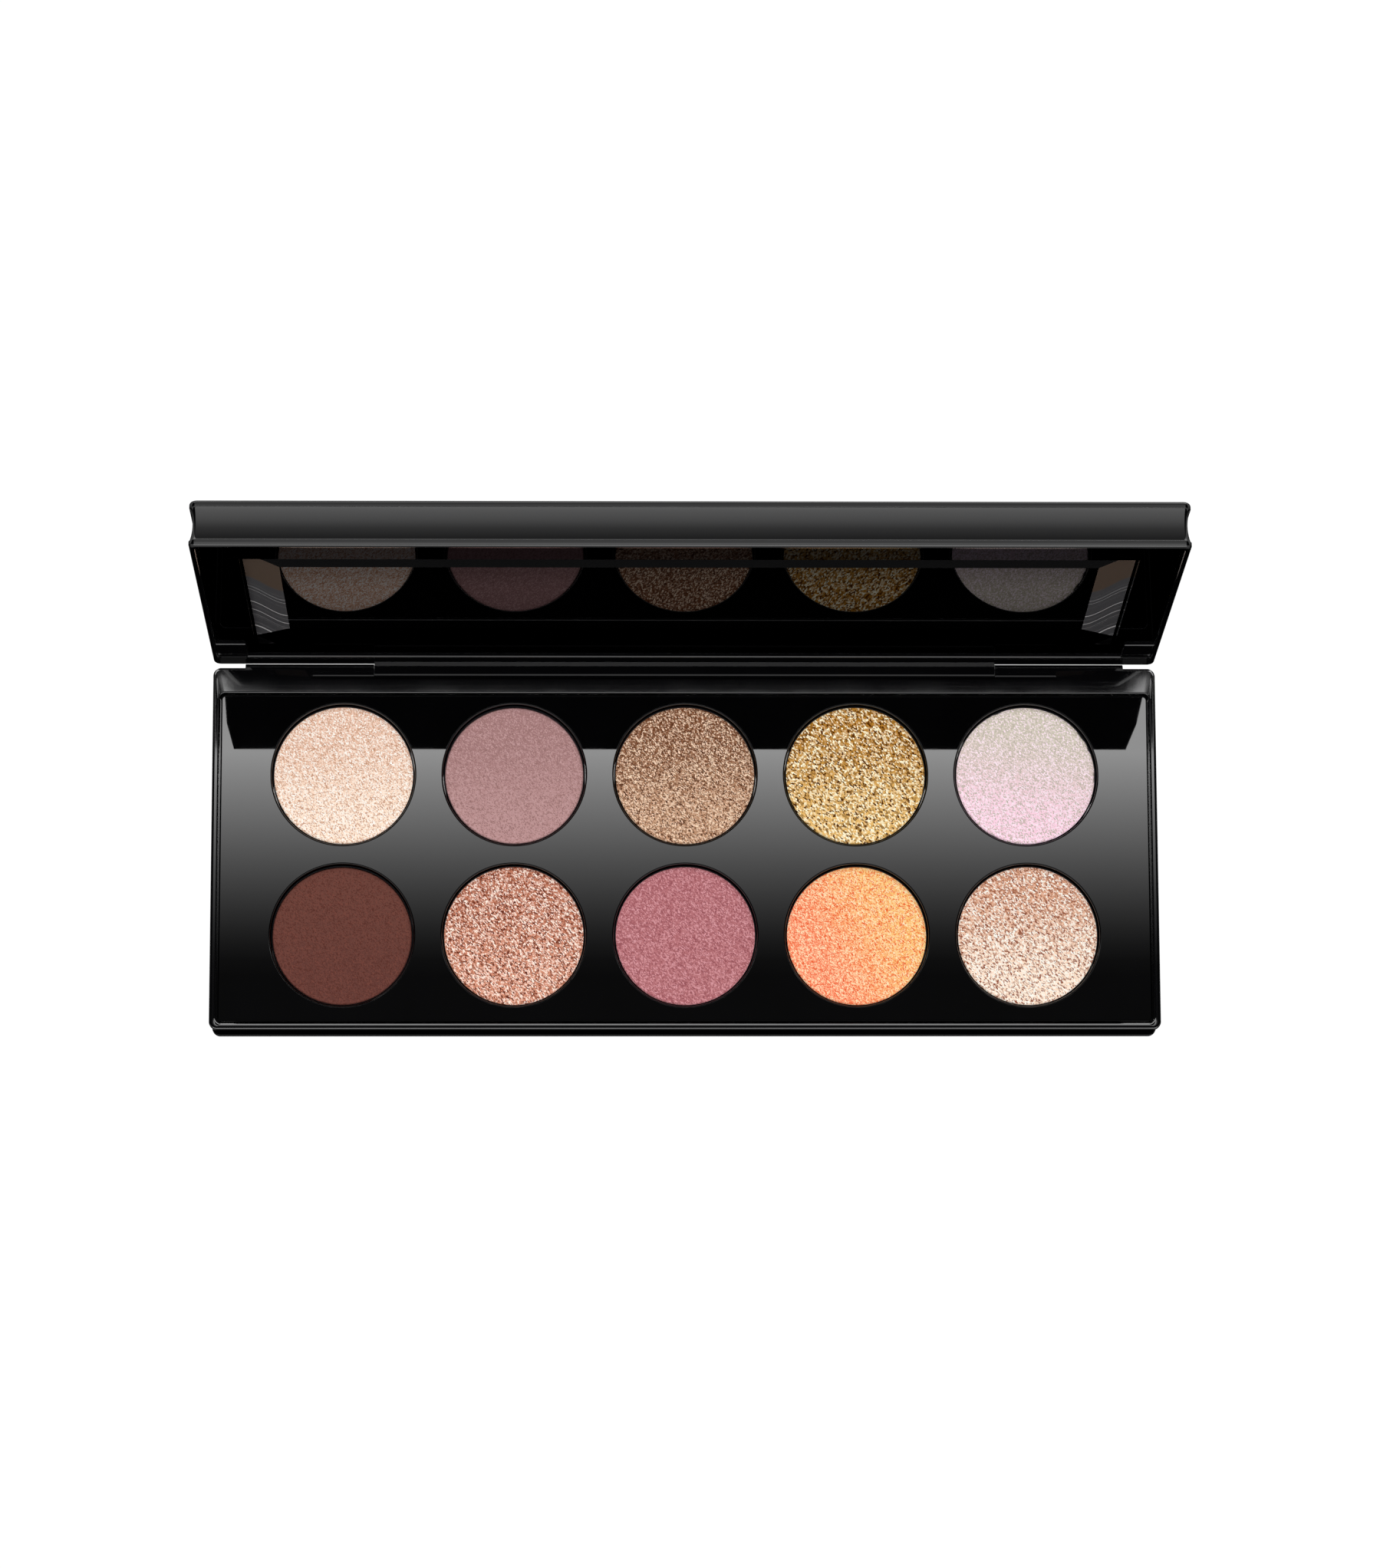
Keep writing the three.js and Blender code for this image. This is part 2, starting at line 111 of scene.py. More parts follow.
bm = bmesh.new()
bmesh.ops.create_circle(bm, cap_ends=True, segments=64, radius=FLOOR_RADIUS)
floor = place_on_set("floor", bm, white_paper)
bm = bmesh.new()
bmesh.ops.create_uvsphere(bm, u_segments=48, v_segments=24, radius=FLOOR_RADIUS * 0.99)
backdrop = place_on_set("backdrop", bm, white_paper)
for sweep in (floor, backdrop):
    sweep.visible_glossy = False
    sweep.visible_diffuse = False
    sweep.visible_shadow = False


# ---- Soft light: a big overhead box for the powders, and a dim surround that only gloss sees ----
# The surround glows in front and low behind, so that the rounded edges don't vanish into black.
KEY_PLACE = (-0.18, -0.42, 1.25)
KEY_SIZE = 0.8
KEY_POWER = 20.5

key = bpy.data.objects.new("key_softbox", bpy.data.lights.new("key_softbox", "AREA"))
key.data.shape = "SQUARE"
key.data.size = KEY_SIZE
key.data.energy = KEY_POWER
key.location = KEY_PLACE
key.rotation_mode = "QUATERNION"
key.rotation_quaternion = (-Vector(KEY_PLACE)).to_track_quat("-Z", "Y")
key.visible_glossy = False
bpy.context.scene.collection.objects.link(key)

# Brightness of the surroundings by angle from straight up, in degrees, towards the back: (angle, value).
SURROUND = (
    (-150, 0), (-120, 0.4), (-91, 0.8), (-44, 0.8), (-34, 0), (61, 0), (66, 0.8), (91, 0.8), (150, 0.2),
    (179, 0.1),
)
SURROUND_PEAK = 0.8

world = bpy.data.worlds.new("studio")
bpy.context.scene.world = world
world.use_nodes = True
tree = world.node_tree
tree.nodes.clear()
coordinates = add_node(tree, "ShaderNodeTexCoord")
parts = add_node(tree, "ShaderNodeSeparateXYZ", {"Vector": coordinates.outputs["Generated"]})
angle = add_node(tree, "ShaderNodeMath", {0: parts.outputs["Y"], 1: parts.outputs["Z"]}, operation="ARCTAN2")
turn = add_node(tree, "ShaderNodeMapRange", {"Value": angle.outputs[0], "From Min": -pi, "From Max": pi})
ramp = add_node(tree, "ShaderNodeValToRGB", {"Fac": turn.outputs[0]})
while len(ramp.color_ramp.elements) < len(SURROUND):
    ramp.color_ramp.elements.new(1)
for element, (degrees, value) in zip(ramp.color_ramp.elements, SURROUND):
    element.position = (degrees + 180) / 360
    element.color = [value / SURROUND_PEAK] * 3 + [1]
glow = add_node(tree, "ShaderNodeBackground", {"Color": ramp.outputs["Color"], "Strength": SURROUND_PEAK})
add_node(tree, "ShaderNodeOutputWorld", {"Surface": glow.outputs[0]})
world.cycles_visibility.diffuse = False


# ---- Base: the lower half of the case, injection-moulded gloss black ABS ----
# An open box with a ridge, a hollow channel and a ridge round its sides. Inside are a ledge for the
# tray, posts, magnet sockets, and at the back the hinge pocket with a knuckle at each end. The
# knuckles are drawn as pieces of their own, so that a reflector can miss them.
MM = 0.001
CASE_WIDTH, CASE_DEPTH = 176, 68
BASE_HEIGHT = 11
CORNER_RADIUS = 1.5
RIDGE_HEIGHT, RIDGE_ROUND = 1.25, 0.7
LIP_STEP, LIP_ROUND = 0.15, 0.07
CHANNEL_SAG = 0.5
RIM_WIDTH = 1.2
RIM_OUTER_ROUND, RIM_INNER_ROUND = 0.45, 0.3
SEAT_CORNER = 1.1
SEAT_BACK = 29.2
LEDGE_WIDTH = 0.9
FLOOR_THICKNESS = 1.4
TRAY_TOP, TRAY_THICKNESS = 10.4, 1.3
PAN_PITCH_X, PAN_PITCH_Y, PAN_MIDDLE_Y = 31.8, 30.2, -1.2
HINGE_Y, HINGE_Z = 33.4, 9.6
BARREL_RADIUS, BARREL_HALF = 1.3, 57.96
KNUCKLE_RADIUS, KNUCKLE_START, KNUCKLE_END = 1.5, 58.04, 82
POCKET_HALF, POCKET_FRONT, POCKET_FLOOR = 69.4, 31.9, 7.65
STOP_X, STOP_WIDTH, STOP_STEP_Y, STOP_STEP_Z = 30, 8, 32.15, 8.8
PIN_BORE, BORE_END = 0.75, 69.3
INSET = 0.02  # how far the hinge's faces lie inside the walls that they grow from
MAGNET_X, MAGNET_Y, MAGNET_RADIUS, MAGNET_HEIGHT = 47.7, -29.8, 2, 2
POST_RADIUS, SOCKET_POST_RADIUS = 2, 2.95
CAP_MARGIN = 0.05  # the flat left between a rounded edge and the cap inside it
RING_COLUMNS = 48


def turned_ring(bm, profile, columns=RING_COLUMNS):
    """Turns a profile of (radius, height) corners once round the upright axis, and gives its vertices."""
    before = set(bm.verts)
    corners = [bm.verts.new((radius, 0, height)) for radius, height in profile]
    edges = [bm.edges.new(pair) for pair in zip(corners, corners[1:])]
    bmesh.ops.rotate(bm, verts=corners, cent=(0, 0, 0), matrix=Matrix.Rotation(pi / columns, 3, "Z"))
    bmesh.ops.spin(
        bm, geom=corners + edges, cent=(0, 0, 0), axis=(0, 0, 1), angle=2 * pi, steps=columns, use_merge=True
    )
    return [v for v in bm.verts if v not in before]


def rings_at(verts, radius, height):
    """The edges of the ring that lies at a radius and a height on a turned shape."""
    on = {v for v in verts if abs(hypot(v.co.x, v.co.y) - radius) < 1e-3 and abs(v.co.z - height) < 1e-3}
    return list({e for v in on for e in v.link_edges if e.other_vert(v) in on})


def round_ring(bm, verts, radius, height, size, segments):
    """Rounds one ring of a turned shape, and gives the shape's vertices after it."""
    kept = [v for v in bm.verts if v not in set(verts)]
    bmesh.ops.bevel(
        bm, geom=rings_at(verts, radius, height), offset=size, segments=segments,
        profile=0.5, affect="EDGES", material=-1,
    )
    return [v for v in bm.verts if v not in set(kept)]


def pull_apart(bm, verts, corner, left, right, front, back):
    """Pulls a turned ring's four quarters out to the corners of a rectangle."""
    for axis, low, high in ((0, left + corner, right - corner), (1, front + corner, back - corner)):
        for sign, distance in ((-1, low), (1, high)):
            shift = Vector((0, 0, 0))
            shift[axis] = distance
            bmesh.ops.translate(bm, verts=[v for v in verts if v.co[axis] * sign > 0], vec=shift)


def loop_at(bm, verts, height):
    """The open edge of a ring at one height."""
    own = set(verts)
    return [
        e for e in bm.edges
        if e.is_boundary and all(v in own and abs(v.co.z - height) < 1e-3 for v in e.verts)
    ]


def case_half(outer_face, rim_face, ledge_height, floor_height, rim_round):
    """One half of the case, from the height of its outer face to the height of its rim."""
    way = 1 if rim_face > outer_face else -1
    lip = CORNER_RADIUS - LIP_STEP
    channel_start, channel_end = outer_face + way * RIDGE_HEIGHT, rim_face - way * RIDGE_HEIGHT
    steps = 14
    channel = [
        (lip - 4 * CHANNEL_SAG * (i / steps) * (1 - i / steps),
         channel_start + (channel_end - channel_start) * i / steps)
        for i in range(steps + 1)
    ]
    outer_flat, rim_flat = (CORNER_RADIUS - size - CAP_MARGIN for size in (RIDGE_ROUND, rim_round))
    bm = bmesh.new()
    outside = turned_ring(bm, [
        (outer_flat, outer_face), (CORNER_RADIUS, outer_face), (CORNER_RADIUS, channel_start), *channel,
        (CORNER_RADIUS, channel_end), (CORNER_RADIUS, rim_face), (rim_flat, rim_face),
    ])
    for radius, height, size, segments in (
        (CORNER_RADIUS, outer_face, RIDGE_ROUND, 8),
        (CORNER_RADIUS, rim_face, rim_round, 8),
        (CORNER_RADIUS, channel_start, LIP_ROUND, 3),
        (CORNER_RADIUS, channel_end, LIP_ROUND, 3),
        (lip, channel_start, LIP_ROUND, 2),
        (lip, channel_end, LIP_ROUND, 2),
    ):
        outside = round_ring(bm, outside, radius, height, size, segments)
    x, y = CASE_WIDTH / 2, CASE_DEPTH / 2
    pull_apart(bm, outside, CORNER_RADIUS, -x, x, -y, y)
    bmesh.ops.edgeloop_fill(bm, edges=loop_at(bm, outside, outer_face))
    hollow = SEAT_CORNER - LEDGE_WIDTH
    inside = turned_ring(bm, [
        (SEAT_CORNER, rim_face), (SEAT_CORNER, ledge_height), (hollow, ledge_height), (hollow, floor_height),
    ])
    inner = x - RIM_WIDTH
    pull_apart(bm, inside, SEAT_CORNER, -inner, inner, -y + RIM_WIDTH, SEAT_BACK)
    bmesh.ops.edgeloop_fill(bm, edges=loop_at(bm, inside, floor_height))
    rim_edge = loop_at(bm, inside, rim_face)
    bmesh.ops.bridge_loops(bm, edges=loop_at(bm, outside, rim_face) + rim_edge)
    bmesh.ops.bevel(
        bm, geom=rim_edge, offset=RIM_INNER_ROUND, segments=4, profile=0.5, affect="EDGES", material=-1
    )
    bmesh.ops.recalc_face_normals(bm, faces=bm.faces)
    return bm


def add_block(bm, left, right, front, back, low, high, rounding=0):
    """A block between six planes, with its edges rounded."""
    made = bmesh.ops.create_cube(bm, size=1)["verts"]
    bmesh.ops.scale(bm, verts=made, vec=(right - left, back - front, high - low))
    bmesh.ops.translate(
        bm, verts=made, vec=((left + right) / 2, (front + back) / 2, (low + high) / 2)
    )
    if rounding:
        edges = list({e for v in made for e in v.link_edges})
        bmesh.ops.bevel(
            bm, geom=edges, offset=rounding, segments=3, profile=0.5, affect="EDGES", material=-1
        )


def add_post(bm, x, y, radius, low, high, segments=48):
    """An upright round post or hole."""
    made = bmesh.ops.create_cone(
        bm, cap_ends=True, segments=segments, radius1=radius, radius2=radius, depth=high - low
    )["verts"]
    bmesh.ops.translate(bm, verts=made, vec=(x, y, (low + high) / 2))


def add_rod(bm, radius, left, right, segments=32):
    """A rod along the hinge axis."""
    made = bmesh.ops.create_cone(
        bm, cap_ends=True, segments=segments, radius1=radius, radius2=radius, depth=right - left
    )["verts"]
    bmesh.ops.rotate(bm, verts=made, cent=(0, 0, 0), matrix=Matrix.Rotation(pi / 2, 3, "Y"))
    bmesh.ops.translate(bm, verts=made, vec=((left + right) / 2, HINGE_Y, HINGE_Z))


def carve(blank, tool, operation):
    """Joins a tool to a blank, or cuts it away, and gives the result."""
    pair = []
    for bm in (blank, tool):
        mesh = bpy.data.meshes.new("carving")
        bm.to_mesh(mesh)
        bm.free()
        pair.append(bpy.data.objects.new("carving", mesh))
        bpy.context.scene.collection.objects.link(pair[-1])
    boolean = pair[0].modifiers.new("carve", "BOOLEAN")
    boolean.object, boolean.operation, boolean.solver, boolean.use_self = pair[1], operation, "EXACT", True
    evaluated = pair[0].evaluated_get(bpy.context.evaluated_depsgraph_get())
    result = bmesh.new()
    result.from_mesh(evaluated.to_mesh())
    evaluated.to_mesh_clear()
    for used in pair:
        bpy.data.meshes.remove(used.data)
    bmesh.ops.remove_doubles(result, verts=result.verts, dist=1e-4)
    bmesh.ops.dissolve_degenerate(result, edges=result.edges, dist=1e-4)
    return result


def assemble(name, bm, material, body, turn=None, sharp=35):
    """The finished piece: scaled to metres in its place, smooth but for its sharp edges, on its body."""
    if turn is not None:
        bmesh.ops.transform(bm, matrix=turn, verts=bm.verts)
    bmesh.ops.scale(bm, verts=bm.verts, vec=(MM, MM, MM))
    mesh = bpy.data.meshes.new(name)
    bm.to_mesh(mesh)
    bm.free()
    mesh.shade_smooth()
    mesh.set_sharp_from_angle(angle=radians(sharp))
    mesh.materials.append(material)
    piece = bpy.data.objects.new(name, mesh)
    bpy.context.scene.collection.objects.link(piece)
    flatten = piece.modifiers.new("true_flats", "WEIGHTED_NORMAL")
    flatten.keep_sharp, flatten.weight = True, 100
    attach(piece, body)
    return piece


# ABS, moulded in a polished tool: black right through, with a wet gloss and a trace of flow haze.
gloss_abs, tree = new_tree("gloss_black_abs_moulded")
coordinates = add_node(tree, "ShaderNodeTexCoord")
HAZE_SIZE = 9 * MM
haze = add_node(tree, "ShaderNodeTexNoise", {
    "Vector": coordinates.outputs["Object"], "Scale": 1 / HAZE_SIZE, "Detail": 4,
})
gloss = add_node(tree, "ShaderNodeMapRange", {"Value": haze.outputs["Fac"], "To Min": 0.02, "To Max": 0.06})
tint = add_node(tree, "ShaderNodeMix", {
    "Factor": haze.outputs["Fac"], "A": linear("#030304"), "B": linear("#060607"),
}, data_type="RGBA")
PEEL_SIZE = 1.6 * MM
peel = add_node(tree, "ShaderNodeTexNoise", {
    "Vector": coordinates.outputs["Object"], "Scale": 1 / PEEL_SIZE,
})
skin = add_node(tree, "ShaderNodeBump", {
    "Height": peel.outputs["Fac"], "Strength": 0.02, "Distance": 0.02 * MM,
})
shader = add_node(tree, "ShaderNodeBsdfPrincipled", {
    "Base Color": tint.outputs[2], "Roughness": gloss.outputs[0], "IOR": 1.53, "Normal": skin.outputs[0],
})
add_node(tree, "ShaderNodeOutputMaterial", {"Surface": shader.outputs[0]})

seat_floor = TRAY_TOP - TRAY_THICKNESS
bm = case_half(0, BASE_HEIGHT, seat_floor, FLOOR_THICKNESS, RIM_OUTER_ROUND)
tool = bmesh.new()
add_block(tool, -POCKET_HALF, POCKET_HALF, POCKET_FRONT, CASE_DEPTH, POCKET_FLOOR, BASE_HEIGHT + 2)
bm = carve(bm, tool, "DIFFERENCE")
tool = bmesh.new()
rooted = POCKET_FLOOR - 0.5
for column in (-1.5, -0.5, 0.5, 1.5):
    add_post(tool, column * PAN_PITCH_X, PAN_MIDDLE_Y, POST_RADIUS, FLOOR_THICKNESS - 0.5, seat_floor - 0.1)
for side in (-1, 1):
    add_post(tool, side * MAGNET_X, MAGNET_Y, SOCKET_POST_RADIUS, FLOOR_THICKNESS - 0.5, seat_floor - 0.1)
    x, reach = side * STOP_X, STOP_WIDTH / 2 + 1
    add_block(tool, x - reach, x + reach, POCKET_FRONT - 0.5, STOP_STEP_Y, rooted, STOP_STEP_Z)
bm = carve(bm, tool, "UNION")
tool = bmesh.new()
for side in (-1, 1):
    add_post(tool, side * MAGNET_X, MAGNET_Y, MAGNET_RADIUS + 0.1, seat_floor - 2.2, seat_floor + 1)
bm = carve(bm, tool, "DIFFERENCE")
base_moulding = assemble("base_moulding", bm, gloss_abs, "base")
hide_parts("base_shell")

for side, word in ((-1, "left"), (1, "right")):
    left, right = sorted((side * KNUCKLE_START, side * KNUCKLE_END))
    bm = bmesh.new()
    add_rod(bm, KNUCKLE_RADIUS, left, right)
    tool = bmesh.new()
    add_block(tool, left, right, HINGE_Y - KNUCKLE_RADIUS, CASE_DEPTH / 2 - INSET, rooted, HINGE_Z)
    bm = carve(bm, tool, "UNION")
    tool = bmesh.new()
    add_rod(tool, PIN_BORE, *sorted((side * (KNUCKLE_START - 0.3), side * BORE_END)))
    add_block(
        tool, left - 1, right + 1, POCKET_FRONT - 1, CASE_DEPTH / 2 + 2, BASE_HEIGHT - INSET, BASE_HEIGHT + 1
    )
    bm = carve(bm, tool, "DIFFERENCE")
    knuckle = assemble(f"knuckle_{word}", bm, gloss_abs, "base")
    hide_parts("base_shell")


# ---- Magnets in the base: two nickel-plated discs pressed into sockets behind the front wall ----
# They hold the lid shut, and the tray hides them.

# Nickel plate, tumbled: a warm grey metal with a soft, uneven shine.
nickel, tree = new_tree("nickel_plated_magnet")
coordinates = add_node(tree, "ShaderNodeTexCoord")
tumbled = add_node(tree, "ShaderNodeTexNoise", {
    "Vector": coordinates.outputs["Object"], "Scale": 1 / (0.4 * MM), "Detail": 6,
})
gloss = add_node(tree, "ShaderNodeMapRange", {
    "Value": tumbled.outputs["Fac"], "To Min": 0.18, "To Max": 0.34,
})
tint = add_node(tree, "ShaderNodeMix", {
    "Factor": tumbled.outputs["Fac"], "A": linear("#BDB7AB"), "B": linear("#D2CDC4"),
}, data_type="RGBA")
shader = add_node(tree, "ShaderNodeBsdfPrincipled", {
    "Base Color": tint.outputs[2], "Metallic": 1.0, "Roughness": gloss.outputs[0],
})
add_node(tree, "ShaderNodeOutputMaterial", {"Surface": shader.outputs[0]})
for side in ("left", "right"):
    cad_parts[f"base_magnet_{side}"].data.materials[0] = nickel


# ---- Hinge pins: drawn steel wire, pushed in through each knuckle into the lid's barrel ----
# Each pin stays with its knuckle, and the barrel turns on it.
PIN_RADIUS, PIN_START, PIN_END = 0.65, 50, 68.4
PIN_END_ROUND = 0.12

# Stainless steel, drawn: bright, with fine lines along the wire.
drawn_steel, tree = new_tree("stainless_steel_drawn")
coordinates = add_node(tree, "ShaderNodeTexCoord")
along = add_node(tree, "ShaderNodeMapping", {
    "Vector": coordinates.outputs["Object"], "Scale": (4 * MM, 0.05 * MM, 0.05 * MM),
}, vector_type="TEXTURE")
lines = add_node(tree, "ShaderNodeTexNoise", {"Vector": along.outputs[0], "Scale": 1})
gloss = add_node(tree, "ShaderNodeMapRange", {"Value": lines.outputs["Fac"], "To Min": 0.2, "To Max": 0.42})
tint = add_node(tree, "ShaderNodeMix", {
    "Factor": lines.outputs["Fac"], "A": linear("#9C9DA0"), "B": linear("#C4C5C8"),
}, data_type="RGBA")
shader = add_node(tree, "ShaderNodeBsdfPrincipled", {
    "Base Color": tint.outputs[2], "Metallic": 1.0, "Roughness": gloss.outputs[0],
})
add_node(tree, "ShaderNodeOutputMaterial", {"Surface": shader.outputs[0]})

for side, word in ((-1, "left"), (1, "right")):
    bm = bmesh.new()
    add_rod(bm, PIN_RADIUS, *sorted((side * PIN_START, side * PIN_END)))
    ends = [e for e in bm.edges if abs(e.verts[0].co.x - e.verts[1].co.x) < 1e-3]
    bmesh.ops.bevel(bm, geom=ends, offset=PIN_END_ROUND, segments=2, profile=0.5, affect="EDGES", material=-1)
    pin = assemble(f"pin_{word}", bm, drawn_steel, "base")
    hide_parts(f"hinge_pin_{word}")


# ---- Tray: one gloss black moulding that drops on the ledge and holds ten round cups ----
# Each hole's edge rolls over softly, and the cup below it takes a pan.
TRAY_GAP = 0.3
TRAY_CORNER = 0.9
TRAY_EDGE_ROUND = 0.25
HOLE_RADIUS, HOLE_ROUND = 13.3, 0.3
CUP_WALL, CUP_FLOOR = 0.8, 5.1
ROUND_COLUMNS = 128

SHADES = (
    "champagne", "mauve", "taupe", "gold", "opal", "maroon", "copper", "rose", "coral", "blush",
)
PLACES = [
    ((i % 5 - 2) * PAN_PITCH_X, PAN_MIDDLE_Y + (0.5 - i // 5) * PAN_PITCH_Y) for i in range(len(SHADES))
]

# ABS again, with the high polish of a flat show face.
tray_abs, tree = new_tree("gloss_black_abs_show_face")
coordinates = add_node(tree, "ShaderNodeTexCoord")
haze = add_node(tree, "ShaderNodeTexNoise", {
    "Vector": coordinates.outputs["Object"], "Scale": 1 / HAZE_SIZE, "Detail": 4,
})
gloss = add_node(tree, "ShaderNodeMapRange", {"Value": haze.outputs["Fac"], "To Min": 0.0, "To Max": 0.014})
tint = add_node(tree, "ShaderNodeMix", {
    "Factor": haze.outputs["Fac"], "A": linear("#020202"), "B": linear("#040405"),
}, data_type="RGBA")
shader = add_node(tree, "ShaderNodeBsdfPrincipled", {
    "Base Color": tint.outputs[2], "Roughness": gloss.outputs[0], "IOR": 1.53,
})
add_node(tree, "ShaderNodeOutputMaterial", {"Surface": shader.outputs[0]})

bm = bmesh.new()
edge = TRAY_CORNER - TRAY_EDGE_ROUND - CAP_MARGIN
plate = turned_ring(bm, [
    (edge, seat_floor), (TRAY_CORNER, seat_floor), (TRAY_CORNER, TRAY_TOP), (edge, TRAY_TOP),
])
plate = round_ring(bm, plate, TRAY_CORNER, TRAY_TOP, TRAY_EDGE_ROUND, 4)
inner = CASE_WIDTH / 2 - RIM_WIDTH - TRAY_GAP
front, back = -CASE_DEPTH / 2 + RIM_WIDTH + TRAY_GAP, SEAT_BACK - TRAY_GAP
pull_apart(bm, plate, TRAY_CORNER, -inner, inner, front, back)
for height in (seat_floor, TRAY_TOP):
    bmesh.ops.edgeloop_fill(bm, edges=loop_at(bm, plate, height))
bmesh.ops.recalc_face_normals(bm, faces=bm.faces)
tool = bmesh.new()
for x, y in PLACES:
    add_post(tool, x, y, HOLE_RADIUS + CUP_WALL, CUP_FLOOR - CUP_WALL, seat_floor + 0.5, 64)
bm = carve(bm, tool, "UNION")
tool = bmesh.new()
for x, y in PLACES:
    above = TRAY_TOP + 1
    cutter = turned_ring(tool, [
        (0, CUP_FLOOR), (HOLE_RADIUS, CUP_FLOOR), (HOLE_RADIUS, TRAY_TOP - HOLE_ROUND),
        *[
            (HOLE_RADIUS + HOLE_ROUND * (1 - cos(step * pi / 12)),
             TRAY_TOP - HOLE_ROUND + HOLE_ROUND * sin(step * pi / 12))
            for step in range(1, 6)
        ],
        (HOLE_RADIUS + HOLE_ROUND, TRAY_TOP), (HOLE_RADIUS + HOLE_ROUND, above), (0, above),
    ], ROUND_COLUMNS)
    bmesh.ops.remove_doubles(tool, verts=cutter, dist=1e-4)
    moved = [v for v in cutter if v.is_valid]
    bmesh.ops.translate(tool, verts=moved, vec=(x, y, 0))
bmesh.ops.recalc_face_normals(tool, faces=tool.faces)
bm = carve(bm, tool, "DIFFERENCE")
tray_moulding = assemble("tray_moulding", bm, tray_abs, "base")
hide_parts("pan_tray")


# ---- Glue dots: a blob of hot melt under each pan, hidden between pan and cup ----
# The glue is dropped in hot, and sets to a waxy, cream-coloured lump.
hot_melt, tree = new_tree("hot_melt_glue")
coordinates = add_node(tree, "ShaderNodeTexCoord")
cloud = add_node(tree, "ShaderNodeTexNoise", {
    "Vector": coordinates.outputs["Object"], "Scale": 1 / (2 * MM),
})
tint = add_node(tree, "ShaderNodeMix", {
    "Factor": cloud.outputs["Fac"], "A": linear("#DDD3B2"), "B": linear("#F0EAD6"),
}, data_type="RGBA")
skin = add_node(tree, "ShaderNodeBump", {
    "Height": cloud.outputs["Fac"], "Strength": 0.3, "Distance": 0.1 * MM,
})
shader = add_node(tree, "ShaderNodeBsdfPrincipled", {
    "Base Color": tint.outputs[2], "Roughness": 0.45, "IOR": 1.48, "Normal": skin.outputs[0],
})
add_node(tree, "ShaderNodeOutputMaterial", {"Surface": shader.outputs[0]})
for shade in SHADES:
    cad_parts[f"glue_dot_{shade}"].data.materials[0] = hot_melt


# ---- Pans: ten shallow round tins, stamped from tinplate and lacquered black ----
# Each is glued in its cup, and only its thin upper rim shows round the powder.
PAN_FOOT = 5.4
PAN_RADIUS, PAN_WALL, PAN_HEIGHT = 13.15, 0.2, 3.8
PAN_FOOT_ROUND, PAN_RIM_ROUND = 0.4, 0.08

# Tinplate, lacquered: near black, with a low and slightly speckled shine.
lacquered, tree = new_tree("tinplate_stamped_black_lacquer")
coordinates = add_node(tree, "ShaderNodeTexCoord")
speckle = add_node(tree, "ShaderNodeTexNoise", {
    "Vector": coordinates.outputs["Object"], "Scale": 1 / (0.5 * MM), "Detail": 5,
})
tint = add_node(tree, "ShaderNodeMix", {
    "Factor": speckle.outputs["Fac"], "A": linear("#08080A"), "B": linear("#18181B"),
}, data_type="RGBA")
gloss = add_node(tree, "ShaderNodeMapRange", {"Value": speckle.outputs["Fac"], "To Min": 0.3, "To Max": 0.5})
shader = add_node(tree, "ShaderNodeBsdfPrincipled", {
    "Base Color": tint.outputs[2], "Roughness": gloss.outputs[0], "IOR": 1.5,
})
add_node(tree, "ShaderNodeOutputMaterial", {"Surface": shader.outputs[0]})

for shade, (x, y) in zip(SHADES, PLACES):
    bm = bmesh.new()
    inside = PAN_RADIUS - PAN_WALL
    tin = turned_ring(bm, [
        (0, 0), (PAN_RADIUS, 0), (PAN_RADIUS, PAN_HEIGHT), (inside, PAN_HEIGHT), (inside, PAN_WALL),
        (0, PAN_WALL),
    ], ROUND_COLUMNS)
    tin = round_ring(bm, tin, PAN_RADIUS, 0, PAN_FOOT_ROUND, 4)
    tin = round_ring(bm, tin, PAN_RADIUS, PAN_HEIGHT, PAN_RIM_ROUND, 2)
    tin = round_ring(bm, tin, inside, PAN_HEIGHT, PAN_RIM_ROUND, 2)
    bmesh.ops.remove_doubles(bm, verts=bm.verts, dist=1e-4)
    bmesh.ops.recalc_face_normals(bm, faces=bm.faces)
    bmesh.ops.translate(bm, verts=bm.verts, vec=(x, y, PAN_FOOT))
    tin = assemble(f"tin_{shade}", bm, lacquered, "base")
    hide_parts(f"pan_{shade}")


# ---- Powders: ten cakes of pressed eyeshadow, mica and talc with a binder, each in its own pan ----
# The press leaves a barely domed face with a soft edge. Matte shades are smooth; metallic ones are
# full of flakes that the press lays over in one direction.
POWDER_RADIUS, POWDER_EDGE, POWDER_CROWN = 12.92, 3.55, 3.95
POWDER_DOME, EDGE_SHARPNESS = 0.12, 40
POWDER_RINGS = 44
RIPPLES = 1.7  # per mm, across the pressed face
FLAKE_TURN = radians(-45)  # the flakes lie along this direction, from +X

